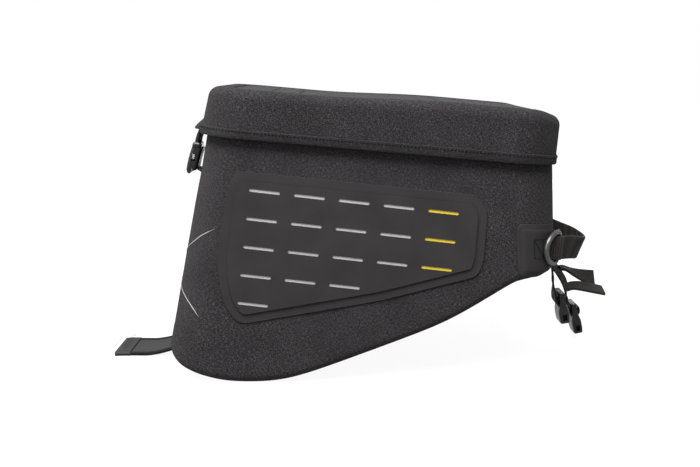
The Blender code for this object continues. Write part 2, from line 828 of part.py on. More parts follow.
def lid_top_panel(outline, hinge):
    """The panel in the recess of the lid, with slots across it behind and ahead of its middle."""
    low = -RECESS + GAP
    high = low + 0.0017
    bm = bmesh.new()
    top = prism_into(bm, outline.xy(wall_depth(low), RIM_WIDTH + 0.0028), low, high)
    bmesh.ops.inset_region(bm, faces=[top], thickness=0.006, use_even_offset=True)
    panel = from_bmesh("lid_top_panel", bm, RUBBER, hinge)
    cutter = bmesh.new()
    for column in (-4, -3, 2, 3, 4):
        for row in (-1, 0, 1):
            centre = (column * SLOT_PITCH_Z, row * SLOT_PITCH_X)
            slot = [Vector((centre[0] + p.y, centre[1] + p.x)) for p in stadium(SLOT_LENGTH, SLOT_WIDTH, 3)]
            prism_into(cutter, slot, low - 0.001, high + 0.001)
    add_cut(panel, from_bmesh("lid_slot_cutter", cutter, RUBBER, hinge))


def lid_hem(outline, hinge):
    section = rectangle_section(-GAP, -GAP - HEM_THICKNESS, -LID_HEIGHT, -LID_HEIGHT + HEM_HEIGHT)
    band("lid_hem", outline, section, TRIM, hinge)


def lid_seal(outline, hinge):
    high = -RECESS - LID_WALL - 2 * GAP - 0.002
    depth = wall_depth(RIM_TOP_Z)
    corners = ((0.0015, high), (0.0015, RIM_TOP_Z + 0.0022), (0.0070, RIM_TOP_Z + 0.0022), (0.0070, high))
    band("lid_seal", outline, [(inset, z, depth) for inset, z in corners], FOAM, hinge)


def hinge_strip():
    """Fabric strip on the front face, which the lid turns on."""
    top = -0.0462
    low = -0.0680
    line = []
    for z in (top, (top + low) / 2, low):
        line.append(Vector((FRONT_X + FRONT_LEAN * wall_depth(z) + 0.0011, 0.0, z)))
    ribbon("hinge_strip", line, Vector((0.0, 0.062, 0.0)), TRIM, BAG, 0.0014)


def closure_frame():
    rotation = Matrix.Rotation(BUCKLE_TILT, 3, "Y")
    return joint_frame("closure_buckle", BUCKLE_TOP, rotation)


def closure_female(frame):
    """Socket half on the rear face: mouth up at the origin, strap slot at the bottom."""
    size = (BUCKLE_THICKNESS, BUCKLE_WIDTH, FEMALE_LENGTH)
    middle = (0.0, 0.0, -FEMALE_LENGTH / 2)
    female = in_own_frame(box("closure_buckle_socket", size, middle, PLASTIC, frame))
    add_bevel(female, 0.0014)
    cuts = (
        ("mouth", (SOCKET_THICKNESS, SOCKET_WIDTH, 2 * SOCKET_DEPTH), (0.0, 0.0, 0.0)),
        ("window", (0.0052, 2 * BUCKLE_WIDTH, 0.0085), (0.0, 0.0, -0.0100)),
        ("strap_slot", (2 * BUCKLE_THICKNESS, 0.0205, 0.0026), (0.0, 0.0, -0.0198)),
    )
    cut_boxes(female, cuts, frame)


def closure_male(frame, hinge):
    """Plug half on the lid's webbing, with its centre blade and its two sprung arms."""
    bm = bmesh.new()
    box_into(bm, (0.0072, 0.0240, 0.0070), (0.0, 0.0, 0.0043))
    male = from_bmesh("closure_buckle_plug", bm, PLASTIC, hinge)
    blade = box("blade_join", (MALE_PLATE, 0.0060, 0.0150), (0.0, 0.0, -0.0060), PLASTIC, hinge)
    add_boolean(male, blade, "UNION")
    cutter = box("plug_cutter", (0.02, 0.0190, 0.0024), (0.0, 0.0, 0.0047), PLASTIC, hinge)
    add_cut(male, cutter)
    pieces = [male, blade, cutter]
    for side, name in ((1, "right"), (-1, "left")):
        profile = ((0.0062, 0.0001), (0.0070, -0.0045), (0.0078, -0.0095), (0.0068, -0.0135))
        path = [Vector((0.0, -side * y, z)) for y, z in profile]
        across = Vector((MALE_PLATE / 2, 0.0, 0.0))
        pieces.append(ribbon(f"buckle_arm_{name}", path, across, PLASTIC, hinge, 0.0026))
    place = Matrix.Translation(frame.location) @ frame.rotation_euler.to_matrix().to_4x4()
    for obj in pieces:
        obj.data.transform(place)


def closure_webbing(hinge):
    across = Vector((0.0, 0.009, 0.0))
    tab = [(-0.1617, 0, -0.0268), (-0.1652, 0, -0.0318), (-0.1705, 0, -0.0365), (-0.1762, 0, -0.0402)]
    ribbon("lid_pull_tab", tab, Vector((0.0, 0.010, 0.0)), WEBBING, hinge, 0.0026)
    upper = [(-0.1650, 0, -0.0395), (-0.1690, 0, -0.0425), (-0.1725, 0, -0.0480), (-0.1738, 0, -0.0547)]
    ribbon("closure_strap_upper", upper, across, WEBBING, hinge)
    lower = []
    for z in (-0.0560, -0.0700, -0.0840, -0.0930):
        lower.append(Vector((REAR_X - REAR_LEAN * wall_depth(z) - 0.0012, 0.0, z)))
    lower.extend((Vector((-0.1650, 0.0, -0.0975)), Vector((-0.1700, 0.0, -0.0985))))
    lower.append(Vector((-0.1742, 0.0, -0.0940)))
    lower.append(Vector((-0.1752, 0.0, -0.0868)))
    ribbon("closure_strap_lower", lower, across, WEBBING, BAG)


def seat_point():
    """The middle of the tank seat, in the bag's frame."""
    z = straight_belly(SEAT_X) + SADDLE - PAD_THICKNESS - 0.0012
    return Vector((SEAT_X, 0.0, z))


def bag_frame():
    empty = bpy.data.objects.new("bag_frame", None)
    PARTS.objects.link(empty)
    empty.rotation_euler = (0.0, LID_TILT, 0.0)
    empty.location = -(Matrix.Rotation(LID_TILT, 3, "Y") @ seat_point())
    return empty


def build_body():
    leans = (REAR_LEAN, FRONT_LEAN, SIDE_LEAN)
    outline = Outline(REAR_X, FRONT_X, HALF_WIDTH, CORNER, leans)
    body_shell(outline)
    mouth_rim(outline)
    floor_board(outline)
    tank_pad()
    for side in (1, -1):
        side_panel(side)
        corner_patch(outline, side)
        handle_anchor(side)
        d_ring(side)
        front_strap(side)
    carry_handle()
    rear_strap()
    hinge_strip()
    return outline


def build_lid(body_outline):
    hinge = joint_frame("lid_hinge", HINGE)
    half = LID_LENGTH / 2
    leans = (LID_REAR_LEAN, 0.0, 0.0)
    outline = Outline(-half, half, LID_WIDTH / 2, LID_CORNER, leans, (6, 4, 7))
    lid_shell(outline, hinge)
    lid_board(outline, hinge)
    lid_top_panel(outline, hinge)
    lid_hem(outline, hinge)
    lid_seal(body_outline, hinge)
    frame = closure_frame()
    closure_female(frame)
    closure_male(frame, hinge)
    closure_webbing(hinge)


clear_scene()
PARTS = new_collection("tank_bag")
CUTTERS = new_collection("cutters")
BAG = bag_frame()
build_lid(build_body())
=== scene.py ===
"""Looks of the motorcycle tank bag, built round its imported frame. Lengths are in metres.

Pieces are modelled in the bag's own frame, as the CAD is: the origin is the middle of the lid's
top rim, +X points to the steering head, +Y to the rider's left and +Z out of the lid. BAG takes
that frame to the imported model's. "Right" is the rider's right, at -Y.
"""

import math

import bmesh
import bpy
import numpy as np
from mathutils import Matrix, Vector, noise


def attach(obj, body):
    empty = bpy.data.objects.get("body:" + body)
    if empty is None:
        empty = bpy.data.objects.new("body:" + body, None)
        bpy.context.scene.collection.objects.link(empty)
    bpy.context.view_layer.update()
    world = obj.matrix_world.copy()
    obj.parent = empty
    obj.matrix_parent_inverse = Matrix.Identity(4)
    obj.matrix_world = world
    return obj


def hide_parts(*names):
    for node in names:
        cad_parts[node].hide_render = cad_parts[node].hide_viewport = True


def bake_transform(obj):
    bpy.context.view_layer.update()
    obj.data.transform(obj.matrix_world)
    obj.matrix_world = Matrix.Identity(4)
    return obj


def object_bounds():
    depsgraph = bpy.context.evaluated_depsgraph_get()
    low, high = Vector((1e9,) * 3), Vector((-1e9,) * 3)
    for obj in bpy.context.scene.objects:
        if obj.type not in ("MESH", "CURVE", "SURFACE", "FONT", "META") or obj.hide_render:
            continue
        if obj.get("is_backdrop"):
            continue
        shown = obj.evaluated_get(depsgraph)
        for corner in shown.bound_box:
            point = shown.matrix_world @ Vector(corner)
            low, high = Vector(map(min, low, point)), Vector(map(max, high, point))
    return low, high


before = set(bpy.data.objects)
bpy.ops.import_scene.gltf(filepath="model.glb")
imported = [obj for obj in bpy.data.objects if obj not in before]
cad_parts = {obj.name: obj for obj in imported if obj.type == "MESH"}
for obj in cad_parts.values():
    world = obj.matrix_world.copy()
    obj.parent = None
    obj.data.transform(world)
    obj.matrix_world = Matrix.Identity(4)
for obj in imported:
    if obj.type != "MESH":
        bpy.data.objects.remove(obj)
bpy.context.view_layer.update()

MM = 0.001

# How the bag stands: nose down
LID_TILT = math.radians(5.0)

# Lid
LID_LENGTH = 0.325
LID_WIDTH = 0.220
LID_HEIGHT = 0.043
LID_CORNER = 0.044
LID_REAR_LEAN = 0.14
LID_EDGE = 0.009
LID_WALL = 0.0035
RIM_WIDTH = 0.020
RECESS = 0.0025
HEM_HEIGHT = 0.008
CROWN = 0.0044
CROWN_START = 0.065
CROWN_RUN = 0.125
FRONT_FALL = 0.0042
FRONT_FALL_START = 0.134
FRONT_FALL_RUN = 0.026

# Body
MOUTH_Z = -LID_HEIGHT
RIM_TOP_Z = -0.016
REAR_X = -0.1565
FRONT_X = 0.1603
HALF_WIDTH = 0.104
REAR_LEAN = 0.105
FRONT_LEAN = 0.13
SIDE_LEAN = 0.045
CORNER = 0.040
WALL = 0.004
BOTTOM_ROUND = 0.008
SADDLE = 0.009
SADDLE_EDGE = HALF_WIDTH - 0.004
SADDLE_RUN = 0.040
GAP = 0.0003

# Underside, seen from the side
BELLY_X = -0.104
BELLY_Z = -0.260
BELLY_SLOPE = 0.0875
BELLY_BENDS = ((-0.068, 0.39, 0.012), (0.076, 0.25, 0.010), (0.134, -0.53, 0.003))
TAIL_X = -0.125
TAIL_BEND = 0.30
TAIL_WIDTH = 0.008
SAG = 0.0044
SAG_X = 0.005
SAG_REACH = 0.175
PAD_THICKNESS = 0.005
PAD_DROP = PAD_THICKNESS + 0.0012
PAD_HALF_WIDTH = 0.052
PAD_REAR = -0.120
PAD_FRONT = 0.104
SEAT_X = 0.004

# Side panels
PANEL_CORNERS = (
    (-0.124, -0.0285), (0.0905, -0.0315), (0.1005, -0.0450), (0.1015, -0.0900),
    (0.0975, -0.1040), (0.0130, -0.1335), (-0.1130, -0.1665), (-0.1285, -0.1450),
    (-0.1355, -0.1110), (-0.1310, -0.0455),
)
PANEL_FLANGE = 0.0010
PANEL_THICKNESS = 0.0026
PANEL_BORDER = 0.0085
PANEL_CORNER = 0.014
SLOT_LENGTH = 0.0275
SLOT_WIDTH = 0.0026
SLOT_PITCH_X = 0.0398
SLOT_PITCH_Z = 0.0254
SLOT_TILT = math.radians(-1.55)
FIRST_SLOT = (-0.0977, -0.0448)
SLOT_ROWS = (5, 5, 5, 3, 1)
SHEET_RECESS = 0.7 * MM
SHEET_OVERLAP = 0.0006
SHEET_THICKNESS = 0.0006

# Corner patches: two lengths round the corner, the top's height, the wrap and the raised face
PATCH_LOW = 0.0
PATCH_HIGH = 0.0440
PATCH_TOP = -0.0965
PATCH_WRAP = math.radians(38)
PATCH_FACE = 0.0022

# Webbing and hardware
HANDLE_WEBBING = 0.022
HANDLE_Z = -0.1205
STRAP_WEBBING = 0.020
RING_WIRE = 0.0020
RING_HEIGHT = 0.0284
RING_DEPTH = 0.020
RING_BAR = Vector((0.1700, -0.0905, HANDLE_Z + 0.0030))
RING_BACK = Vector((-0.66, -0.751, 0.0))
RING_OUT = Vector((0.751, -0.66, 0.0))
FRONT_STRAP_Y = 0.045
REAR_STRAP_WIDTH = 0.056
BUCKLE_TILT = math.radians(3.0)
BUCKLE_TOP = Vector((-0.1742, 0.0, -0.0630))
SOCKET_LENGTH = 0.0258
SOCKET_WIDTH = 0.0266
SOCKET_THICKNESS = 0.0110
PLUG_WIDTH = 0.0262
PLUG_THICKNESS = 0.0108
SIDE_NAMES = {1: "right", -1: "left"}


# ---------------------------------------------------------------- shape of the bag


def wall_depth(z):
    return MOUTH_Z - z


def eased(share):
    """A share from 0 to 1, made to start and end slowly."""
    return share * share * (3 - 2 * share)


def soft_ramp(distance, width):
    """Zero, then rising one for one, with the bend smoothed over the width."""
    if distance > 40 * width:
        return distance
    return width * math.log1p(math.exp(distance / width))


def belly(x):
    """Height of the lower edge of the side skirts."""
    z = BELLY_Z + BELLY_SLOPE * (x - BELLY_X)
    for place, bend, width in BELLY_BENDS:
        z += bend * soft_ramp(x - place, width)
    return z + TAIL_BEND * soft_ramp(TAIL_X - x, TAIL_WIDTH)


def straight_belly(x):
    z = BELLY_Z + BELLY_SLOPE * (x - BELLY_X)
    for place, bend, _ in BELLY_BENDS:
        z += bend * max(x - place, 0.0)
    return z


def saddle(y):
    """How far the underside is raised over the tank, away from the side skirts."""
    share = min(max((SADDLE_EDGE - abs(y)) / SADDLE_RUN, 0.0), 1.0)
    return SADDLE * eased(share)


def sag(x):
    """How far the filled bag's side skirts hang below their straight cut."""
    return SAG * math.sqrt(max(1 - ((x - SAG_X) / SAG_REACH) ** 2, 0.0))


def underside(x, y):
    """Height of the filled bag's lower face: saddle in the middle, skirts at the sides."""
    raised = saddle(y)
    return belly(x) + raised - sag(x) * (1 - raised / SADDLE)


def swept(start, sweep, steps):
    """Cosine and sine at even steps of a sweep, with both angles in degrees."""
    for step in range(steps + 1):
        angle = math.radians(start + sweep * step / steps)
        yield math.cos(angle), math.sin(angle)


SEAT = Vector((SEAT_X, 0.0, straight_belly(SEAT_X) + SADDLE - PAD_DROP))
TILT = Matrix.Rotation(LID_TILT, 4, "Y")
BAG = Matrix.Translation(-(TILT.to_3x3() @ SEAT)) @ TILT
CLOSURE = BAG @ Matrix.Translation(BUCKLE_TOP) @ Matrix.Rotation(BUCKLE_TILT, 4, "Y")


class Outline:
    """A rounded rectangle in plan that grows with depth: xy(depth, inset) gives its points."""

    def __init__(self, rear, front, half_width, corner, leans, steps):
        side_steps, end_steps, corner_steps = steps
        rear_lean, front_lean, side_lean = leans
        quarters = (
            (front, -half_width, front_lean, -side_lean, -90),
            (front, half_width, front_lean, side_lean, 0),
            (rear, half_width, -rear_lean, side_lean, 90),
            (rear, -half_width, -rear_lean, -side_lean, 180),
        )
        arcs = []
        for x, y, grow_x, grow_y, start in quarters:
            centre = (x - math.copysign(corner, x), y - math.copysign(corner, y))
            for out in swept(start, 90, corner_steps):
                point = (centre[0] + corner * out[0], centre[1] + corner * out[1])
                arcs.append((*point, grow_x, grow_y, *out))
        rows = []
        per_arc = corner_steps + 1
        for quarter, run in enumerate((end_steps, side_steps, end_steps, side_steps)):
            arc = arcs[quarter * per_arc : (quarter + 1) * per_arc]
            following = arcs[(quarter + 1) * per_arc % len(arcs)]
            rows.extend(arc)
            for step in range(1, run):
                share = step / run
                rows.append([a + share * (b - a) for a, b in zip(arc[-1], following)])
        table = np.array(rows)
        self.base = table[:, 0:2]
        self.growth = table[:, 2:4]
        self.out = table[:, 4:6]
        self.count = len(table)

    def xy(self, depth=0.0, inset=0.0):
        depth = np.broadcast_to(depth, self.count)[:, None]
        inset = np.broadcast_to(inset, self.count)[:, None]
        return self.base + depth * self.growth - inset * self.out

    def ring(self, z, depth=0.0, inset=0.0):
        z = np.broadcast_to(z, self.count)[:, None]
        return np.hstack([self.xy(depth, inset), z])


BODY_OUTLINE = Outline(
    REAR_X, FRONT_X, HALF_WIDTH, CORNER, (REAR_LEAN, FRONT_LEAN, SIDE_LEAN), (60, 36, 16)
)
LID_OUTLINE = Outline(
    -LID_LENGTH / 2, LID_LENGTH / 2, LID_WIDTH / 2, LID_CORNER, (LID_REAR_LEAN, 0.0, 0.0), (60, 36, 18)
)


def wall_bottom(outline):
    """Depth of each wall line's lower end, where the bottom's rounding starts."""
    depth = np.full(outline.count, 0.15)
    for _ in range(20):
        xy = outline.xy(depth, BOTTOM_ROUND)
        depth = wall_depth(np.array([underside(x, y) + BOTTOM_ROUND for x, y in xy]))
    return depth


def wall_point(end, along, z, offset, side=1):
    """A point off the body's wall. end is 1 for a front corner and -1 for a rear one. along is
    the length round the corner from the side wall's end, and side is 1 on the right."""
    depth = wall_depth(z)
    if end > 0:
        centre_x = FRONT_X + FRONT_LEAN * depth - CORNER
    else:
        centre_x = -(REAR_X - REAR_LEAN * depth + CORNER)
    centre_y = HALF_WIDTH + SIDE_LEAN * depth - CORNER
    turn = min(max(along / CORNER, 0.0), math.pi / 2)
    reach = CORNER + offset
    x = centre_x + reach * math.sin(turn) + min(along, 0.0)
    y = centre_y + reach * math.cos(turn) - max(along - CORNER * math.pi / 2, 0.0)
    return Vector((end * x, -side * y, z))


# ---------------------------------------------------------------- making meshes


def linked(name, data):
    """A new object for the data, in the scene."""
    obj = bpy.data.objects.new(name, data)
    bpy.context.scene.collection.objects.link(obj)
    return obj


def finish_mesh(name, mesh, materials, sharp=40.0):
    mesh.materials.clear()
    for material in materials if isinstance(materials, (list, tuple)) else [materials]:
        mesh.materials.append(material)
    mesh.shade_smooth()
    mesh.set_sharp_from_angle(angle=math.radians(sharp))
    return linked(name, mesh)


def grid_object(name, grid, materials, closed=False, caps=False, matrix=BAG, sharp=40.0):
    """An object from a grid of points, with UVs in metres: U along its rows and V across them."""
    grid = np.asarray(grid, float)
    rows, columns = grid.shape[:2]
    wrapped = np.concatenate([grid, grid[:, :1]], axis=1) if closed else grid
    steps = np.linalg.norm(np.diff(wrapped, axis=1), axis=2).mean(axis=0)
    u = np.concatenate([[0.0], np.cumsum(steps)])
    v = np.zeros(wrapped.shape[:2])
    v[1:] = np.cumsum(np.linalg.norm(np.diff(wrapped, axis=0), axis=2), axis=0)
    faces = []
    coordinates = []
    for row in range(rows - 1):
        for column in range(columns if closed else columns - 1):
            after = (column + 1) % columns
            here = row * columns
            faces.append((here + column, here + after, here + columns + after, here + columns + column))
            for r, c in ((row, column), (row, column + 1), (row + 1, column + 1), (row + 1, column)):
                coordinates.append((u[c], v[r, c]))
    if caps:
        for row in (0, rows - 1):
            faces.append(tuple(range(row * columns, (row + 1) * columns)))
            coordinates.extend((u[c], v[row, c]) for c in range(columns))
    mesh = bpy.data.meshes.new(name)
    mesh.from_pydata(grid.reshape(-1, 3).tolist(), [], faces)
    layer = mesh.uv_layers.new(name="weave")
    layer.data.foreach_set("uv", np.array(coordinates).ravel())
    mesh.transform(matrix)
    bm = bmesh.new()
    bm.from_mesh(mesh)
    bmesh.ops.recalc_face_normals(bm, faces=bm.faces)
    bm.to_mesh(mesh)
    bm.free()
    return finish_mesh(name, mesh, materials, sharp)


def bmesh_object(name, bm, material, matrix, sharp=40.0):
    bmesh.ops.recalc_face_normals(bm, faces=bm.faces)
    mesh = bpy.data.meshes.new(name)
    bm.to_mesh(mesh)
    bm.free()
    mesh.transform(matrix)
    return finish_mesh(name, mesh, material, sharp)


def joined(name, objects):
    """One object from several, keeping their UVs and materials."""
    bpy.ops.object.select_all(action="DESELECT")
    for obj in objects:
        obj.select_set(True)
    bpy.context.view_layer.objects.active = objects[0]
    bpy.ops.object.join()
    objects[0].name = name
    return objects[0]


def with_modifiers_applied(obj):
    """The object with its modifiers' result as its own mesh."""
    graph = bpy.context.evaluated_depsgraph_get()
    mesh = bpy.data.meshes.new_from_object(obj.evaluated_get(graph))
    obj.modifiers.clear()
    obj.data = mesh
    return obj


def signed_power(value, power):
    return math.copysign(abs(value) ** power, value)


def squarish(count, square_x, square_y):
    """Points round a unit circle, pushed out towards a square by powers below 1."""
    for step in range(count):
        angle = 2 * math.pi * (step + 0.5) / count
        yield signed_power(math.cos(angle), square_x), signed_power(math.sin(angle), square_y)


def bevel(obj, width, segments=2, angle=50.0):
    modifier = obj.modifiers.new("edges", "BEVEL")
    modifier.width = width
    modifier.segments = segments
    modifier.limit_method = "ANGLE"
    modifier.angle_limit = math.radians(angle)
    modifier.harden_normals = True
    return obj


def solidify(obj, thickness, inner_slot=0, rim_slot=0):
    """Thickness added on the inner side, which can have its own material, as can the rim."""
    modifier = obj.modifiers.new("thickness", "SOLIDIFY")
    modifier.thickness = thickness
    modifier.offset = -1.0
    modifier.use_even_offset = True
    modifier.material_offset = inner_slot
    modifier.material_offset_rim = rim_slot
    return obj


def smooth_path(points, steps=4):
    """A Catmull-Rom curve through the points."""
    points = [Vector(point) for point in points]
    ends = [2 * points[0] - points[1], *points, 2 * points[-1] - points[-2]]
    path = []
    for index in range(len(points) - 1):
        a, b, c, d = ends[index : index + 4]
        for step in range(steps):
            t = step / steps
            path.append(
                0.5 * (2 * b + (c - a) * t + (2 * a - 5 * b + 4 * c - d) * t**2
                       + (3 * b - a - 3 * c + d) * t**3)
            )
    path.append(points[-1])
    return path


def evenly(path, spacing, *others):
    """The path, and values given along it, sampled again at an even spacing."""
    points = np.array([list(point) for point in path])
    lengths = np.concatenate([[0.0], np.cumsum(np.linalg.norm(np.diff(points, axis=0), axis=1))])
    count = max(int(lengths[-1] / spacing), 2)
    at = np.linspace(0.0, lengths[-1], count + 1)
    tables = [points, *[np.array([list(value) for value in other]) for other in others]]
    made = []
    for table in tables:
        columns = [np.interp(at, lengths, table[:, index]) for index in range(table.shape[1])]
        made.append([Vector(row) for row in zip(*columns)])
    return made if others else made[0]


def webbing(name, path, across, thickness, material, ribs=0.0, spacing=0.0008):
    """Flat webbing with rounded edges. across is half its width, one vector or one a point.
    ribs is the pitch of the raised ribs across it, or 0 for a plain weave."""
    if isinstance(across, Vector):
        across = [across] * len(path)
    path, across = evenly(path, spacing if ribs else 2.5 * spacing, across)
    tangents = []
    for index in range(len(path)):
        ahead = path[min(index + 1, len(path) - 1)] - path[max(index - 1, 0)]
        tangents.append(ahead.normalized())
    flats = [-1.0, -0.72, -0.36, 0.0, 0.36, 0.72, 1.0]
    rings = []
    for index, (here, half, tangent) in enumerate(zip(path, across, tangents)):
        normal = tangent.cross(half).normalized()
        swell = 1.0
        if ribs:
            swell += 0.16 * math.cos(2 * math.pi * index * spacing / ribs)
        reach = half.length - thickness / 2
        side = half.normalized()
        ring = []
        for way in (1, -1):
            for share in flats:
                ring.append(here + side * reach * share * way + normal * swell * way * thickness / 2)
            for angle in (60, 30, 0, -30, -60):
                turn = math.radians(angle * way)
                out = side * (reach + thickness / 2 * math.cos(turn)) * way
                ring.append(here + out + normal * thickness / 2 * math.sin(turn))
        rings.append([list(point) for point in ring])
    return grid_object(name, rings, material, closed=True, caps=True, sharp=80.0)


def closed_wire(name, points, radius, material, matrix):
    """A round wire bent into a closed loop, as a mesh."""
    curve = bpy.data.curves.new(name, "CURVE")
    curve.dimensions = "3D"
    curve.bevel_depth = radius
    curve.bevel_resolution = 5
    spline = curve.splines.new("POLY")
    spline.points.add(len(points) - 1)
    for target, point in zip(spline.points, points):
        target.co = (*point, 1.0)
    spline.use_cyclic_u = True
    guide = linked(name, curve)
    graph = bpy.context.evaluated_depsgraph_get()
    mesh = bpy.data.meshes.new_from_object(guide.evaluated_get(graph))
    bpy.data.objects.remove(guide)
    mesh.transform(matrix)
    return finish_mesh(name, mesh, material, 80.0)


def stitches(name, path, outward, material, pitch=0.0032, length=0.0023, thread=0.00028):
    """A row of thread stitches, each a small lens of thread lying along the path."""
    points = evenly(path, pitch)
    bm = bmesh.new()
    for index in range(len(points) - 1):
        along = (points[index + 1] - points[index]).normalized()
        middle = (points[index] + points[index + 1]) / 2
        out = outward(middle) if callable(outward) else outward
        across = along.cross(out).normalized()
        out = across.cross(along)
        turn = Matrix((along, across, out)).transposed().to_4x4()
        size = Matrix.Diagonal((length / 2, thread * 1.3, thread, 1.0))
        bmesh.ops.create_icosphere(
            bm, subdivisions=1, radius=1.0, matrix=Matrix.Translation(middle) @ turn @ size
        )
    return bmesh_object(name, bm, material, BAG, 180.0)


def sheet_with_holes(outline, holes):
    """A flat filled outline with holes, in a bmesh."""
    bm = bmesh.new()
    edges = []
    for loop in [outline, *holes]:
        corners = [bm.verts.new((point[0], point[1], 0.0)) for point in loop]
        for index, corner in enumerate(corners):
            edges.append(bm.edges.new((corner, corners[(index + 1) % len(corners)])))
    bmesh.ops.triangle_fill(bm, use_beauty=True, use_dissolve=False, edges=edges, normal=(0, 0, 1))
    for face in bm.faces:
        if face.normal.z < 0:
            face.normal_flip()
    return bm


def plate(name, outline, holes, low, high, edge, material, matrix, segments=3):
    """A flat plate between two heights with rounded edges and holes through it."""
    bm = sheet_with_holes(outline, holes)
    mesh = bpy.data.meshes.new(name)
    bm.to_mesh(mesh)
    bm.free()
    mesh.transform(matrix @ Matrix.Translation((0.0, 0.0, high)))
    obj = finish_mesh(name, mesh, material, 40.0)
    solidify(obj, high - low)
    bevel(obj, edge, segments)
    return with_modifiers_applied(obj)


def rounded_polygon(corners, radius, steps=10):
    """The corners joined by straight lines, each corner turned through an arc-like curve."""
    points = []
    count = len(corners)
    for index, corner in enumerate(corners):
        here = Vector(corner)
        before = Vector(corners[index - 1]) - here
        after = Vector(corners[(index + 1) % count]) - here
        reach = min(radius, 0.45 * before.length, 0.45 * after.length)
        start = here + before.normalized() * reach
        end = here + after.normalized() * reach
        for step in range(steps + 1):
            share = step / steps
            points.append((1 - share) ** 2 * start + 2 * share * (1 - share) * here + share**2 * end)
    return points


def shrunk(points, margin):
    """A flat outline moved in by a margin on every side."""
    count = len(points)
    area = sum(a[0] * b[1] - b[0] * a[1] for a, b in zip(points, [*points[1:], points[0]]))
    turn = 1.0 if area > 0 else -1.0
    result = []
    for index, here in enumerate(points):
        before = (here - points[index - 1]).normalized()
        after = (points[(index + 1) % count] - here).normalized()
        inward = Vector((-before.y - after.y, before.x + after.x)).normalized() * turn
        first = Vector((-before.y, before.x)) * turn
        result.append(here + inward * margin / max(inward.dot(first), 0.5))
    return result


def stadium(length, width, centre=(0.0, 0.0), angle=0.0, steps=8):
    """A slot's outline, its long side along X before it is turned."""
    half = (length - width) / 2
    radius = width / 2
    rotation = Matrix.Rotation(angle, 2)
    points = []
    for side, start in ((1, -90), (-1, 90)):
        for x, y in swept(start, 180, steps):
            points.append(rotation @ Vector((side * half + radius * x, radius * y)) + Vector(centre))
    return points


# ---------------------------------------------------------------- materials


class Look:
    """A Principled material being built: short calls add nodes and link them."""

    def __init__(self, name, roughness, specular=0.3, metallic=0.0, **sockets):
        self.material = bpy.data.materials.new(name)
        self.material.use_nodes = True
        self.tree = self.material.node_tree
        self.shader = self.tree.nodes["Principled BSDF"]
        self.set("Roughness", roughness)
        self.set("Specular IOR Level", specular)
        self.set("Metallic", metallic)
        for socket, value in sockets.items():
            self.set(socket.replace("_", " "), value)

    def set(self, socket, value):
        self.put(value, self.shader.inputs[socket])

    def node(self, kind, **settings):
        node = self.tree.nodes.new(kind)
        for key, value in settings.items():
            setattr(node, key, value)
        return node

    def put(self, value, target):
        if isinstance(value, bpy.types.NodeSocket):
            self.tree.links.new(value, target)
        else:
            target.default_value = value

    def fed(self, kind, inputs, **settings):
        """A node with its inputs linked or set."""
        node = self.node(kind, **settings)
        for socket, value in inputs.items():
            self.put(value, node.inputs[socket])
        return node

    def math(self, operation, a, b=0.0):
        return self.fed("ShaderNodeMath", {0: a, 1: b}, operation=operation).outputs[0]

    def place(self, scale, uv=True):
        """Surface coordinates in metres, times a scale."""
        if uv:
            source = self.node("ShaderNodeUVMap", uv_map="weave").outputs[0]
        else:
            source = self.node("ShaderNodeTexCoord").outputs["Object"]
        return self.fed("ShaderNodeMapping", {"Vector": source, "Scale": scale}).outputs[0]

    def noise(self, vector, detail=2.0):
        node = self.fed("ShaderNodeTexNoise", {"Vector": vector, "Scale": 1.0, "Detail": detail})
        return node.outputs["Fac"]

    def split(self, vector):
        return self.fed("ShaderNodeSeparateXYZ", {0: vector}).outputs

    def tint(self, factor, colour, *stops):
        """The base colour, in shades of one colour given as (place, brightness)."""
        node = self.fed("ShaderNodeValToRGB", {"Fac": factor})
        elements = node.color_ramp.elements
        while len(elements) < len(stops):
            elements.new(0.5)
        for element, (position, brightness) in zip(elements, stops):
            element.position = position
            element.color = (*(channel * brightness for channel in colour), 1.0)
        self.set("Base Color", node.outputs["Color"])

    def range(self, value, low, high, to_low, to_high):
        limits = {"From Min": low, "From Max": high, "To Min": to_low, "To Max": to_high}
        return self.fed("ShaderNodeMapRange", {"Value": value, **limits}).outputs["Result"]

    def bump(self, height, distance, strength=1.0):
        inputs = {"Distance": distance, "Strength": strength, "Height": height}
        self.set("Normal", self.fed("ShaderNodeBump", inputs).outputs["Normal"])


def woven(name, colour, pitch=1.1 * MM, uv=True, contrast=0.55):
    """A plain weave of melange yarn: crossing threads in relief, light and dark yarns mixed, and painted
    light and shade on the weave's relief.
    """
    look = Look(name, 1.0, 0.04, Sheen_Weight=0.015, Sheen_Roughness=0.5)
    turns = 2 * math.pi / pitch
    waves = [look.math("SINE", axis) for axis in look.split(look.place((turns, turns, turns), uv))[:2]]
    weave = look.math("MULTIPLY", waves[0], waves[1])
    along = look.noise(look.place((420.0, 1500.0, 900.0), uv), 1.0)
    across = look.noise(look.place((1500.0, 420.0, 900.0), uv), 1.0)
    yarn = look.math("MULTIPLY", look.math("ADD", along, across), 0.5)
    cloud = look.noise(look.place((30.0, 30.0, 30.0), uv), 3.0)
    # The weave term makes the raised crossings lighter and the hollows darker: painted light and painted
    # shade on the threads.
    mixed = look.math("ADD", yarn, look.math("MULTIPLY", weave, 0.10))
    mixed = look.math("ADD", mixed, look.math("MULTIPLY", look.math("SUBTRACT", cloud, 0.5), 0.14))
    stops = ((0.36, 1.0 - contrast), (0.49, 0.85), (0.56, 1.3), (0.64, 1.0 + 2.6 * contrast))
    look.tint(mixed, colour, *stops)
    height = look.math("ADD", weave, look.math("MULTIPLY", yarn, 2.0))
    look.bump(height, 0.16 * MM)
    return look.material


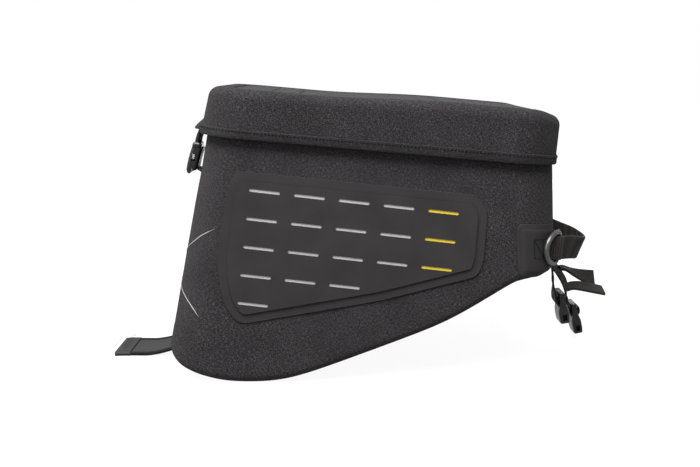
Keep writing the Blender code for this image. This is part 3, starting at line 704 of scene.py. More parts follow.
def rubbery(name, colour, uv=False, roughness=0.7, grain=2600.0, specular=0.06):
    """Matt rubber laminate with a fine grain and slightly smeared gloss."""
    look = Look(name, roughness, specular)
    fine = look.noise(look.place((grain, grain, grain), uv), 2.0)
    broad = look.noise(look.place((35.0, 35.0, 35.0), uv), 3.0)
    look.tint(broad, colour, (0.3, 0.88), (0.7, 1.12))
    look.set("Roughness", look.range(broad, 0.3, 0.7, roughness - 0.06, roughness + 0.06))
    look.bump(fine, 0.03 * MM, 0.6)
    return look.material


def ribbed(name, colour, rib):
    """Polyester webbing: ribs across its length and a fine herringbone on them, with painted light on the
    raised parts and painted shade between them.
    """
    look = Look(name, 0.75, 0.10, Sheen_Weight=0.02, Sheen_Roughness=0.4)
    axes = look.split(look.place((2 * math.pi / (0.8 * MM), 2 * math.pi / rib, 1.0)))
    ribs = look.math("COSINE", axes[1])
    fine = look.math("SINE", look.math("ADD", axes[0], look.math("MULTIPLY", axes[1], 2.0)))
    speck = look.noise(look.place((1800.0, 900.0, 900.0)), 2.0)
    # The ribs and herringbone that make the bump also set the colour, lighter where they stand up: painted
    # light on the crests, painted shade between them.
    shade = look.math("ADD", look.math("MULTIPLY", ribs, 0.30), look.math("MULTIPLY", fine, 0.10))
    shade = look.math("ADD", shade, speck)
    look.tint(shade, colour, (0.2, 0.25), (0.8, 1.9))
    look.bump(look.math("ADD", ribs, look.math("MULTIPLY", fine, 0.5)), 0.20 * MM)
    return look.material


def moulded(name, colour, roughness=0.30, specular=0.20):
    """Satin moulded plastic with a faint spark-eroded texture."""
    look = Look(name, roughness, specular)
    fine = look.noise(look.place((1400.0, 1400.0, 1400.0), False), 2.0)
    broad = look.noise(look.place((120.0, 120.0, 120.0), False), 2.0)
    look.tint(broad, colour, (0.3, 0.85), (0.7, 1.2))
    look.set("Roughness", look.range(fine, 0.3, 0.7, roughness - 0.05, roughness + 0.08))
    look.bump(fine, 0.02 * MM, 0.5)
    return look.material


def reflective(name, colour, metallic=0.2):
    """Glass-bead reflective film: a pale sheet with a fine honeycomb of beads."""
    look = Look(name, 0.5, 0.15, metallic)
    surface = look.place((1700.0, 1700.0, 1700.0), False)
    distance = look.fed("ShaderNodeTexVoronoi", {"Vector": surface, "Scale": 1.0}).outputs["Distance"]
    look.tint(distance, colour, (0.1, 1.08), (0.8, 0.82))
    look.bump(distance, 0.02 * MM, 0.6)
    return look.material


def foamed(name, colour):
    """Foam with fine open cells, painted darker where the surface is low, as shade in the pores."""
    look = Look(name, 0.95, 0.2)
    cells = look.noise(look.place((900.0, 900.0, 900.0), False), 3.0)
    # The noise that makes the bump also sets the colour, darker where it is low: painted shade in the pores.
    look.tint(cells, colour, (0.3, 0.6), (0.7, 1.4))
    look.bump(cells, 0.2 * MM)
    return look.material


FABRIC = woven("woven_fabric", (0.0105, 0.0098, 0.0103))
LID_FABRIC = woven("woven_lid_fabric", (0.0098, 0.0092, 0.0097))
LINING = woven("woven_lining", (0.050, 0.050, 0.053), pitch=0.8 * MM, contrast=0.2)
TRIM = woven("woven_trim", (0.0090, 0.0085, 0.0089), pitch=0.9 * MM, contrast=0.4)
BINDING = woven("binding_tape", (0.0055, 0.0052, 0.0053), pitch=0.9 * MM, contrast=0.5)
RUBBER = rubbery("panel_rubber", (0.0094, 0.0087, 0.0089))
PATCH = rubbery("patch_rubber", (0.0092, 0.0086, 0.0088), grain=2000.0)
TOP = rubbery("lid_top_rubber", (0.0105, 0.0100, 0.0103), roughness=0.8, specular=0.10)
PAD = rubbery("pad_rubber", (0.012, 0.012, 0.012), roughness=0.85, grain=700.0)
WEBBING = ribbed("ribbed_webbing", (0.0062, 0.0055, 0.0053), rib=2.4 * MM)
STRAP = ribbed("strap_webbing", (0.0042, 0.0037, 0.0034), rib=1.6 * MM)
STRAP_CLOTH = rubbery("strap_cloth", (0.0150, 0.0145, 0.0148), uv=True, grain=1500.0)
PLASTIC = moulded("moulded_plastic", (0.0030, 0.0028, 0.0028))
RING = moulded("ring_plastic", (0.0095, 0.0090, 0.0088), roughness=0.36, specular=0.5)
SILVER = reflective("reflective_silver", (0.170, 0.170, 0.168))
YELLOW = reflective("reflective_yellow", (0.245, 0.178, 0.013), metallic=0.0)
THREAD = woven("sewing_thread", (0.0030, 0.0030, 0.0030), pitch=0.5 * MM, uv=False)
FOAM = foamed("foam", (0.014, 0.014, 0.014))
BOARD = rubbery("stiffener", (0.05, 0.05, 0.05), grain=1500.0)


# ---------------------------------------------------------------- body


def body_rings(outline, wall_rows=64, floor_rows=18):
    """Rings down the walls, round the bottom's edge and in over the underside to a short spine."""
    bottom = wall_bottom(outline)
    top = wall_depth(RIM_TOP_Z)
    rings = []
    for row in range(wall_rows + 1):
        depth = top + row / wall_rows * (bottom - top)
        rings.append(outline.ring(MOUTH_Z - depth, depth))
    for angle in range(11, 91, 11):
        turn = math.radians(90 * angle / 88)
        z = MOUTH_Z - bottom - BOTTOM_ROUND * math.sin(turn)
        rings.append(outline.ring(z, bottom, BOTTOM_ROUND * (1 - math.cos(turn))))
    rim = outline.xy(bottom, BOTTOM_ROUND)
    spine = 0.085
    for row in range(1, floor_rows + 1):
        share = 1 - row / floor_rows
        ring = []
        for x, y in rim:
            middle = max(-spine, min(spine, x))
            here = (middle + share * (x - middle), share * y)
            ring.append((*here, underside(*here)))
        rings.append(np.array(ring))
    return rings


def softened(rings, amount, size):
    """Rings moved in and out a little by smooth noise, as cloth over foam is never quite flat."""
    moved = []
    for ring in rings:
        centre = ring.mean(axis=0)
        made = []
        for point in ring:
            out = Vector(point - centre)
            out.z = 0.0
            value = noise.noise(Vector(point) / size) + 0.5 * noise.noise(Vector(point) * 2.3 / size)
            made.append(list(Vector(point) + out.normalized() * amount * value))
        moved.append(np.array(made))
    return moved


def bag_body():
    """The tub: fabric over foam, open at the mouth, lined inside and bound round its rim."""
    rings = body_rings(BODY_OUTLINE)
    soft_rows = 60
    wall = softened(rings[:soft_rows], 0.00035, 0.045)
    rings = [*wall, *rings[soft_rows:]]
    body = grid_object("bag_body", rings, [FABRIC, LINING, TRIM], closed=True)
    bm = bmesh.new()
    bm.from_mesh(body.data)
    bmesh.ops.remove_doubles(bm, verts=bm.verts, dist=1e-5)
    bm.to_mesh(body.data)
    bm.free()
    solidify(body, WALL, inner_slot=1, rim_slot=2)
    with_modifiers_applied(body)
    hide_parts("body_shell")
    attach(body, "body")


def side_matrix(side):
    """From a side wall's own frame to the world: X along the wall, Y up it and Z out of it."""
    lean = math.atan(SIDE_LEAN)
    up = Vector((0.0, side * math.sin(lean), math.cos(lean)))
    out = Vector((0.0, -side * math.cos(lean), math.sin(lean)))
    turn = Matrix((up.cross(out), up, out)).transposed().to_4x4()
    return BAG @ Matrix.Translation((0.0, -side * HALF_WIDTH, MOUTH_Z)) @ turn


def slot_places():
    """(x, height, column) of every slot on a side panel, with the height from the lid's edge."""
    along = Vector((math.cos(SLOT_TILT), math.sin(SLOT_TILT)))
    down = Vector((math.sin(SLOT_TILT), -math.cos(SLOT_TILT)))
    for row, columns in enumerate(SLOT_ROWS):
        for column in range(columns):
            place = Vector(FIRST_SLOT) + column * SLOT_PITCH_X * along + row * SLOT_PITCH_Z * down
            yield place.x, place.y, column


def side_panel(side):
    """The moulded panel, a thin flange round a raised field with slots, and the film behind them."""
    name = SIDE_NAMES[side]
    matrix = side_matrix(side)
    outer = rounded_polygon([(side * x, y) for x, y in PANEL_CORNERS], PANEL_CORNER)
    inner = shrunk(outer, PANEL_BORDER)
    slots = [stadium(SLOT_LENGTH, SLOT_WIDTH, (side * x, y), side * SLOT_TILT) for x, y, _ in slot_places()]
    top = GAP + PANEL_THICKNESS
    flange = plate("flange", outer, [shrunk(inner, 0.0012)], GAP, GAP + PANEL_FLANGE, 0.0004, RUBBER, matrix)
    field = plate("field", inner, slots, GAP, top, 0.0007, RUBBER, matrix)
    panel = joined(f"side_panel_{name}", [flange, field])
    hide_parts(f"side_panel_{name}")
    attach(panel, "body")
    for kind, material, wanted in (("silver", SILVER, range(4)), ("yellow", YELLOW, range(4, 5))):
        inserts = []
        for x, y, column in slot_places():
            if column in wanted:
                size = (SLOT_LENGTH + SHEET_OVERLAP, SLOT_WIDTH + SHEET_OVERLAP)
                outline = stadium(*size, (side * x, y), side * SLOT_TILT)
                high = top - SHEET_RECESS
                low = high - SHEET_THICKNESS
                inserts.append(plate("insert", outline, [], low, high, 0.0001, material, matrix, 1))
        sheet = joined(f"{kind}_inserts_{name}", inserts)
        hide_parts(f"{kind}_sheet_{name}")
        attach(sheet, "body")


# ---------------------------------------------------------------- lid


def crowned(points):
    """Points of the lid with its top bowed up ahead of the middle and lowered at the front edge."""
    points = np.array([list(point) for point in points], float)
    along = np.clip((points[:, 0] + CROWN_START) / CROWN_RUN, 0.0, 1.0)
    height = np.clip((points[:, 2] + LID_HEIGHT) / LID_HEIGHT, 0.0, 1.0)
    ahead = np.clip((points[:, 0] - FRONT_FALL_START) / FRONT_FALL_RUN, 0.0, 1.0)
    points[:, 2] += (CROWN * eased(along) - FRONT_FALL * eased(ahead)) * height
    return points


def lid_ring(z, inset=0.0):
    """The lid's outline at a height, moved in by an inset. Its rear face leans."""
    return crowned(LID_OUTLINE.ring(z, wall_depth(z), inset))


def lid_shell():
    """The lid's cloth: walls, a rounded edge, the flat rim and the recess for the top panel."""
    rings = [lid_ring(z) for z in np.linspace(-LID_HEIGHT, -LID_EDGE, 14)]
    for angle in range(10, 91, 10):
        turn = math.radians(angle)
        rings.append(lid_ring(-LID_EDGE * (1 - math.sin(turn)), LID_EDGE * (1 - math.cos(turn))))
    lip = 0.0016
    for inset in np.linspace(LID_EDGE, RIM_WIDTH - lip, 6)[1:]:
        rings.append(lid_ring(0.0, inset))
    for angle in (30, 60, 90):
        turn = math.radians(angle)
        rings.append(lid_ring(-lip * (1 - math.cos(turn)), RIM_WIDTH - lip + lip * math.sin(turn)))
    rings.append(lid_ring(-RECESS, RIM_WIDTH + 0.0010))
    centre = rings[-1].mean(axis=0) * (1, 0, 0)
    for share in (0.8, 0.5, 0.2, 0.02):
        flat = LID_OUTLINE.ring(-RECESS) * (0.85 * share, 0.8 * share, 1.0)
        rings.append(crowned(flat + centre * (1 - 0.85 * share)))
    cloth = softened(rings[:-5], 0.00025, 0.05) + rings[-5:]
    shell = grid_object("lid_shell_cloth", cloth, [LID_FABRIC, LINING, TRIM], closed=True)
    solidify(shell, LID_WALL, inner_slot=1, rim_slot=2)
    with_modifiers_applied(shell)
    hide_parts("lid_shell")
    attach(shell, "lid")


def lid_hem():
    """The hem's folded band round the lid's lower edge, and its row of stitches."""
    low = -LID_HEIGHT
    high = low + HEM_HEIGHT
    out = -GAP - 0.0010
    section = [
        (0.0006, high), (out + 0.0007, high), (out + 0.0001, high - 0.0005), (out, high - 0.0014),
        (out + 0.0002, (low + high) / 2), (out, low + 0.0010), (out + 0.0006, low - 0.0002),
        (0.0010, low - 0.0004),
    ]
    grid = np.array([lid_ring(z, inset) for inset, z in section])
    hem = grid_object("lid_hem_band", np.concatenate([grid, grid[:1]]), TRIM, closed=True)
    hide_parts("lid_hem")
    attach(hem, "lid")
    line = [Vector(point) for point in lid_ring(high - 0.0020, out - 0.0001)]
    seam = stitches(
        "lid_hem_stitches", [*line, line[0]], lambda p: Vector((p.x / 3, p.y, 0.0)), THREAD, thread=0.00048
    )
    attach(seam, "lid")


def lid_top_panel():
    """The rubber panel in the lid's recess, with slots across it in two groups."""
    low = -RECESS + GAP
    outline = [Vector(point) for point in LID_OUTLINE.xy(wall_depth(low), RIM_WIDTH + 0.0028)]
    slots = []
    for column in (-4, -3, 2, 3, 4):
        for row in (-1, 0, 1):
            centre = (column * SLOT_PITCH_Z, row * SLOT_PITCH_X)
            slots.append(stadium(SLOT_LENGTH, SLOT_WIDTH, centre, math.pi / 2))
    panel = plate("lid_panel", outline, slots, low, low + 0.0017, 0.0005, TOP, Matrix())
    vertices = panel.data.vertices
    for vertex, point in zip(vertices, crowned([vertex.co for vertex in vertices])):
        vertex.co = point
    panel.data.transform(BAG)
    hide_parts("lid_top_panel")
    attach(panel, "lid")


def pull_tab():
    """A padded tab that flares out of the lid's rear face over the closure strap. Each section
    is a height, its reach from the face and its half width."""
    sections = (
        (-0.0170, 0.0003, 0.0330), (-0.0210, 0.0012, 0.0320), (-0.0250, 0.0028, 0.0305),
        (-0.0290, 0.0052, 0.0285), (-0.0330, 0.0084, 0.0262), (-0.0368, 0.0118, 0.0240),
        (-0.0402, 0.0146, 0.0222), (-0.0432, 0.0164, 0.0210), (-0.0446, 0.0166, 0.0204),
    )
    shares = np.linspace(-1.0, 1.0, 25)
    rings = []
    for z, reach, half in sections:
        wall = 0.0006 - LID_LENGTH / 2 - LID_REAR_LEAN * wall_depth(max(z, -LID_HEIGHT))
        depth = 0.0028 if z < -0.0300 else 0.0010
        ring = []
        for share in shares:
            bulge = (1 - share * share) ** 0.6
            ring.append((wall - reach * bulge, half * share, z))
        for share in -shares[1:-1]:
            bulge = (1 - share * share) ** 0.6
            ring.append((wall - max(reach - depth, 0.0) * bulge + 0.0008, half * share, z - 0.0030))
        rings.append(ring)
    tab = grid_object("pull_tab", rings, LID_FABRIC, closed=True, caps=True, sharp=80.0)
    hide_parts("lid_pull_tab")
    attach(tab, "lid")


# ---------------------------------------------------------------- front corner hardware


def ring_outline(steps=36):
    """The D ring's centre line, its bar on the Z axis and its bow towards -X."""
    half = RING_HEIGHT / 2
    points = [Vector((0.0, 0.0, half * share)) for share in np.linspace(-0.85, 0.85, 9)]
    for x, z in swept(90, 180, steps):
        points.append(Vector((RING_DEPTH * x * 0.86 - 0.0028, 0.0, half * z)))
    return points


def d_ring(side):
    """A D ring on the bar at one front corner, lying back against the patch."""
    name = SIDE_NAMES[side]
    back = Vector((RING_BACK.x, side * RING_BACK.y, 0.0))
    along = -back
    out = Vector((0.0, 0.0, 1.0)).cross(along)
    turn = Matrix((along, out, Vector((0.0, 0.0, 1.0)))).transposed().to_4x4()
    place = Matrix.Translation((RING_BAR.x, side * RING_BAR.y, RING_BAR.z)) @ turn
    ring = closed_wire(f"ring_{name}", ring_outline(), 1.15 * RING_WIRE, RING, BAG @ place)
    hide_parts(f"d_ring_{name}")
    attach(ring, f"d_ring_{name}")


def sewn_end():
    """Path and half widths of the handle's sewn end on the right, up to the ring's bar."""
    path = []
    across = []
    upright = Vector((0.0, 0.0, HANDLE_WEBBING / 2))
    for angle in (40, 41.5, 43):
        turn = math.radians(angle)
        path.append(wall_point(1, CORNER * turn, HANDLE_Z, 0.0030))
        up = Vector((-FRONT_LEAN * math.sin(turn), SIDE_LEAN * math.cos(turn), 1.0))
        across.append(up.normalized() * HANDLE_WEBBING / 2)
    for behind, out in ((0.0105, -0.0026), (0.0040, 0.0022), (0.0, 0.0033), (-0.0045, 0.0020)):
        path.append(RING_BAR + behind * RING_BACK + out * RING_OUT)
        across.append(upright)
    return path, across


def carry_handle():
    """One run of webbing, sewn down at both front corners, that dips a little round the nose."""
    path, across = sewn_end()
    mirror = Matrix.Diagonal((1.0, -1.0, 1.0))
    far_path = [mirror @ point for point in reversed(path)]
    far_across = list(reversed(across))
    route = (
        (0.1860, -0.0760, -0.0022), (0.1955, -0.0620, 0.0), (0.2015, -0.0440, 0.0018),
        (0.2048, -0.0220, 0.0026), (0.2050, 0.0, 0.0026), (0.2035, 0.0220, 0.0026),
        (0.2000, 0.0440, 0.0030), (0.1945, 0.0620, 0.0024), (0.1855, 0.0760, 0.0),
    )
    for x, y, dip in route:
        lean = math.radians(18) * min(max((0.086 - abs(y)) / 0.035, 0.0), 1.0)
        path.append(Vector((x, y, HANDLE_Z - dip)))
        across.append(Vector((math.sin(lean), 0.0, math.cos(lean))) * HANDLE_WEBBING / 2)
    path.extend(far_path)
    across.extend(Vector((half.x, -half.y, half.z)) for half in far_across)
    path = smooth_path(path, 6)
    across = smooth_path(across, 6)
    handle = webbing("carry_handle_webbing", path, across, 0.0024, WEBBING, 2.0 * MM, 0.0004)
    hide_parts("carry_handle", "handle_anchor_right", "handle_anchor_left")
    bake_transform(handle)


def wall_end(along):
    """Height where the bottom's rounding starts, at a length round the front corner."""
    z = -0.13
    for _ in range(12):
        point = wall_point(1, along, z, -BOTTOM_ROUND)
        z = underside(point.x, point.y) + BOTTOM_ROUND
    return z


def patch_point(along, down, offset, side=1):
    """A point over the front corner. down is the length from the patch's top edge."""
    end = wall_end(along)
    z = PATCH_TOP - down
    if z >= end:
        return wall_point(1, along, z, offset, side)
    turn = (end - z) / BOTTOM_ROUND
    reach = BOTTOM_ROUND + offset
    drop = Vector((0.0, 0.0, -reach * math.sin(turn)))
    return wall_point(1, along, end, reach * math.cos(turn) - BOTTOM_ROUND, side) + drop


def rounded_rectangle(low, high, radius, steps=10):
    """Points round a rectangle in (along, down), with straight sides divided too."""
    corners = ((high[0], low[1]), (high[0], high[1]), (low[0], high[1]), (low[0], low[1]))
    middle_u = (low[0] + high[0]) / 2
    middle_v = (low[1] + high[1]) / 2
    arcs = []
    for (u, v), start in zip(corners, (-90, 0, 90, 180)):
        centre = (u - math.copysign(radius, u - middle_u), v - math.copysign(radius, v - middle_v))
        arcs.append([(centre[0] + radius * x, centre[1] + radius * y) for x, y in swept(start, 90, steps)])
    points = []
    for index, arc in enumerate(arcs):
        points.extend(arc)
        u, v = arc[-1]
        next_u, next_v = arcs[(index + 1) % 4][0]
        for step in range(1, 16):
            share = step / 16
            points.append((u + share * (next_u - u), v + share * (next_v - v)))
    return points


def corner_patch(side):
    """A welded rubber patch with a raised middle, its lower edge turned under the corner."""
    name = SIDE_NAMES[side]
    depth = PATCH_TOP - wall_end(0.012) + PATCH_WRAP * BOTTOM_ROUND
    back = [(inset, GAP) for inset in (0.0205, 0.0160, 0.0110, 0.0060, 0.0020, 0.0)]
    step_up = [
        (0.0, 0.0009), (0.0003, 0.0012), (0.0009, 0.0013), (0.0030, 0.0013), (0.0042, 0.0014),
        (0.0052, 0.0018), (0.0062, 0.0021),
    ]
    face = [(inset, PATCH_FACE) for inset in (0.0080, 0.0110, 0.0145, 0.0180, 0.0205)]
    rings = []
    for inset, offset in [*back, *step_up, *face]:
        radius = max(0.0065 - inset, 0.0006)
        outline = rounded_rectangle((PATCH_LOW + inset, inset), (PATCH_HIGH - inset, depth - inset), radius)
        rings.append([list(patch_point(u, v, offset, side)) for u, v in outline])
    patch = grid_object(f"patch_{name}", rings, PATCH, closed=True, caps=True)
    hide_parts(f"corner_patch_{name}")
    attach(patch, "body")
    patch_stitches(side)


def patch_stitches(side):
    """A box of stitches with one diagonal, in the middle of a corner patch."""
    low_u, high_u = 0.0150, 0.0245
    top, bottom = 0.0130, 0.0300
    box = ((low_u, top), (high_u, top), (high_u, bottom), (low_u, bottom), (low_u, top), (high_u, bottom))
    seams = []
    for (u, v), (end_u, end_v) in zip(box, box[1:]):
        line = []
        for step in range(9):
            share = step / 8
            place = (u + share * (end_u - u), v + share * (end_v - v))
            line.append(patch_point(*place, PATCH_FACE + 0.0001, side))
        seams.append(stitches("seam", line, Vector((0.4, -side, 0.0)), THREAD, 0.0020, 0.0019, 0.00045))
    box_stitch = joined(f"patch_stitches_{SIDE_NAMES[side]}", seams)
    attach(box_stitch, "body")


# ---------------------------------------------------------------- straps


def front_strap(side):
    """A strap's webbing from under the nose to its buckle, its loose tail and the buckle. turn
    and twist are degrees, one for each point of the strap and of the tail."""
    name = SIDE_NAMES[side]
    y = -side * FRONT_STRAP_Y
    anchor = [(0.1420, y, -0.1385), (0.1560, y, -0.1370), (0.1690, y, -0.1362), (0.1755, y, -0.1380)]
    if side > 0:
        route = [(0.1770, y, -0.1405), (0.1780, y, -0.1490), (0.1798, y, -0.1570), (0.1836, y, -0.1628)]
        bar = Vector((0.1868, y, -0.1665))
        lean = math.radians(14.5)
        length = 0.030
        tail = [
            (0.1922, y, -0.1640), (0.1978, y, -0.1610), (0.2060, y, -0.1604),
            (0.2160, y, -0.1612), (0.2290, y, -0.1628),
        ]
        twist = (0, 6, 12, 14, 12)
        turn = (0, 0, 0, 0, 4, 10, 14)
    else:
        route = [
            (0.1775, y, -0.1402), (0.1895, y, -0.1490), (0.2030, y, -0.1630),
            (0.2135, y, -0.1780), (0.2200, y, -0.1912),
        ]
        bar = Vector((0.2223, y, -0.1960))
        lean = math.radians(17.0)
        length = 0.032
        tail = [
            (0.2060, y, -0.1610), (0.2110, y, -0.1608), (0.2190, y, -0.1640),
            (0.2290, y, -0.1668), (0.2430, y, -0.1687),
        ]
        twist = (0, 4, 12, 26, 44)
        turn = (0, 0, 0, 0, 16, 28, 28, 24)
    buckle = Matrix.Translation(bar) @ Matrix.Rotation(-lean, 4, "Y")
    loop = [
        (-0.0052, -0.0018), (-0.0056, -0.0085), (-0.0030, -0.0125),
        (0.0030, -0.0125), (0.0050, -0.0090), (0.0048, -0.0050),
    ]
    threaded = [buckle @ Vector((x, 0.0, z)) for x, z in loop]
    points = [*anchor, *route[:-1], *threaded]
    halves = []
    for index in range(len(points)):
        angle = math.radians(turn[index] if index < len(turn) else 0.0)
        halves.append(Vector((math.sin(angle), math.cos(angle), 0.0)) * STRAP_WEBBING / 2)
    strap = webbing(f"strap_{name}", smooth_path(points, 6), smooth_path(halves, 6), 0.0018, STRAP)
    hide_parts(f"front_strap_{name}", f"front_strap_anchor_{name}")
    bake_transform(strap)
    halves = []
    for angle in np.radians(twist):
        halves.append(Vector((0.0, math.cos(angle), math.sin(angle))) * STRAP_WEBBING / 2)
    end = webbing(f"strap_tail_{name}", smooth_path(tail, 6), smooth_path(halves, 6), 0.0026, STRAP)
    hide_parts(f"front_strap_tail_{name}")
    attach(end, f"front_strap_{name}")
    socket = buckle_socket(f"strap_buckle_{name}", BAG @ buckle, 0.026, 0.0105, length, 0.013)
    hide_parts(f"front_buckle_{name}")
    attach(socket, f"front_buckle_{name}")


def moulded_stack(name, sections, square_x, square_y, count, thickness, width, place):
    """A plastic part from squarish sections: a height, and shares of its thickness and width."""
    rings = []
    for z, thick, wide in sections:
        ring = []
        for x, y in squarish(count, square_x, square_y):
            ring.append((x * thick * thickness / 2, y * wide * width / 2, z))
        rings.append(ring)
    return grid_object(name, rings, PLASTIC, closed=True, caps=True, matrix=place, sharp=38.0)


def buckle_socket(name, place, width, thickness, length, depth):
    """Socket half of a side-release buckle: a thin ladder end with two slots, swelling to a
    mouth at the far end with a window through each side."""
    sections = (
        (0.0, 0.44, 0.90), (-0.0012, 0.54, 0.96), (-0.0045, 0.56, 0.97), (-0.0110, 0.58, 0.98),
        (-0.0148, 0.78, 1.0), (-0.0185, 0.96, 1.0), (0.0060 - length, 1.0, 0.99),
        (0.0012 - length, 0.92, 0.95), (-length, 0.84, 0.91),
    )
    socket = moulded_stack(name, sections, 0.40, 0.28, 40, thickness, width, place)
    mouth = (0.58 * thickness, 0.32 * width, 2 * depth)
    window = (0.42 * thickness, 0.30 * width, 0.0062)
    slot = (3 * thickness, 0.79 * width, 0.0030)
    cuts = [
        (mouth, (0.0, 0.19 * width, -length)), (mouth, (0.0, -0.19 * width, -length)),
        (window, (0.0, 0.5 * width, 0.0056 - length)), (window, (0.0, -0.5 * width, 0.0056 - length)),
        (slot, (0.0, 0.0, -0.0062)), (slot, (0.0, 0.0, -0.0125)),
    ]
    return cut_out(socket, place, cuts)


def block(name, size, centre, place):
    """A plain box, given in its piece's own frame."""
    bm = bmesh.new()
    bmesh.ops.create_cube(bm, size=1.0, matrix=Matrix.Translation(centre) @ Matrix.Diagonal((*size, 1.0)))
    return bmesh_object(name, bm, PLASTIC, place)


def cut_out(obj, place, cuts):
    """Cuts boxes, given as (size, centre) in the piece's own frame, out of it and rounds the edges."""
    for size, centre in cuts:
        tool = block("cutter", size, centre, place)
        modifier = obj.modifiers.new("cut", "BOOLEAN")
        modifier.operation = "DIFFERENCE"
        modifier.solver = "EXACT"
        modifier.object = tool
        with_modifiers_applied(obj)
        bpy.data.objects.remove(tool)
    bevel(obj, 0.0004, 2, 40.0)
    return with_modifiers_applied(obj)


def closure_buckle():
    """The socket on the rear face, bowed outwards and shorter on the side next to the wall."""
    rings = []
    for down in np.linspace(0.0, SOCKET_LENGTH, 18):
        share = down / SOCKET_LENGTH
        bow = 0.0030 * share * (2 - share)
        closing = 1.0 - 0.30 * max(share - 0.90, 0.0) / 0.10
        ring = []
        for x, y in squarish(44, 0.42, 0.26):
            x = 0.0007 + x * closing * SOCKET_THICKNESS / 2
            short = 0.0036 * share if x > 0.0010 else 0.0
            ring.append((x - bow, y * SOCKET_WIDTH / 2 * (0.94 + 0.06 * closing), short - down))
        rings.append(ring)
    socket = grid_object(
        "rear_buckle_socket", rings, PLASTIC, closed=True, caps=True, matrix=CLOSURE, sharp=38.0
    )
    window = (0.0036, 0.0070, 0.0075)
    cuts = [
        ((0.0056, 0.0200, 0.0330), (-0.0008, 0.0, 0.0)),
        (window, (-0.0016, 0.0133, -0.0100)), (window, (-0.0016, -0.0133, -0.0100)),
        ((0.0014, 0.0400, 0.0080), (-0.0020, 0.0, -SOCKET_LENGTH + 0.0010)),
    ]
    cut_out(socket, CLOSURE, cuts)
    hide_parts("closure_buckle_socket")
    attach(socket, "body")


def closure_plug():
    """The plug on the lid's webbing: a base that carries on the socket's shape, and its blade."""
    sections = (
        (0.0003, 0.86, 0.98), (0.0010, 0.88, 1.0), (0.0028, 0.84, 0.99),
        (0.0044, 0.72, 0.96), (0.0052, 0.58, 0.90),
    )
    plug = moulded_stack("base", sections, 0.42, 0.26, 44, PLUG_THICKNESS, PLUG_WIDTH, CLOSURE)
    blade = bevel(block("blade", (0.0028, 0.0060, 0.0150), (0.0, 0.0, -0.0060), CLOSURE), 0.0005)
    with_modifiers_applied(blade)
    plug = joined("rear_buckle_plug", [plug, blade])
    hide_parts("closure_buckle_plug")
    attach(plug, "lid")


def closure_straps():
    """Webbing from under the pull tab to the plug, and from the rear face through the socket."""
    half = Vector((0.0, 0.0115, 0.0))
    upper = [
        (-0.1640, 0, -0.0400), (-0.1684, 0, -0.0425), (-0.1712, 0, -0.0460),
        (-0.1727, 0, -0.0500), (-0.1738, 0, -0.0545), (-0.1742, 0, -0.0585),
    ]
    lower = []
    for z in (-0.1180, -0.1080, -0.0980, -0.0920):
        lower.append((REAR_X - REAR_LEAN * wall_depth(z) - 0.0013, 0, z))
    lower += [(-0.1655, 0, -0.0880), (-0.1690, 0, -0.0850), (-0.1722, 0, -0.0835)]
    for name, path, node, body, thickness in (
        ("closure_strap_top", upper, "closure_strap_upper", "lid", 0.0042),
        ("closure_strap_bottom", lower, "closure_strap_lower", "body", 0.0016),
    ):
        made = webbing(name, smooth_path(path, 6), half, thickness, STRAP)
        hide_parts(node)
        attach(made, body)


def rear_strap():
    """The wide strap under the rear edge: cloth with bound edges and a folded, stitched end."""
    route = [
        (-0.1350, 0, -0.2530), (-0.1560, 0, -0.2506), (-0.1690, 0, -0.2550), (-0.1795, 0, -0.2601),
        (-0.1836, 0, -0.2624), (-0.1950, 0, -0.2668), (-0.2030, 0, -0.2690), (-0.2080, 0, -0.2700),
        (-0.2160, 0, -0.2707), (-0.2270, 0, -0.2716), (-0.2385, 0, -0.2728),
    ]
    path = smooth_path(route, 8)
    width = REAR_STRAP_WIDTH / 2
    pieces = [webbing("cloth", path, Vector((0.0, width - 0.0012, 0.0)), 0.0018, STRAP_CLOTH)]
    for edge in (-1, 1):
        shifted = [point + Vector((0.0, edge * (width - 0.0028), 0.0)) for point in path]
        pieces.append(webbing("binding", shifted, Vector((0.0, 0.0030, 0.0)), 0.0034, BINDING))
    strap = joined("rear_strap_cloth", pieces)
    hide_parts("rear_strap", "rear_strap_anchor")
    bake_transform(strap)
    fold = [(-0.2250, 0, -0.2713), (-0.2310, 0, -0.2718), (-0.2370, 0, -0.2725), (-0.2398, 0, -0.2730)]
    half = Vector((0.0, width + 0.0002, 0.0))
    flap = webbing("rear_strap_fold", smooth_path(fold, 6), half, 0.0044, STRAP_CLOTH)
    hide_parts("rear_strap_end")
    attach(flap, "rear_strap")
    seams = []
    first = -0.2306
    for x in (first, -0.2330, -0.2418):
        z = -0.2680 + 0.0023 + 0.10 * (x - first)
        line = [Vector((x, y, z)) for y in np.linspace(-width + 0.0015, width - 0.0015, 30)]
        seams.append(stitches("seam", line, Vector((0.0, 0.0, 1.0)), THREAD, 0.0030, 0.0022, 0.0003))
    seam = joined("rear_strap_stitches", seams)
    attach(seam, "rear_strap")


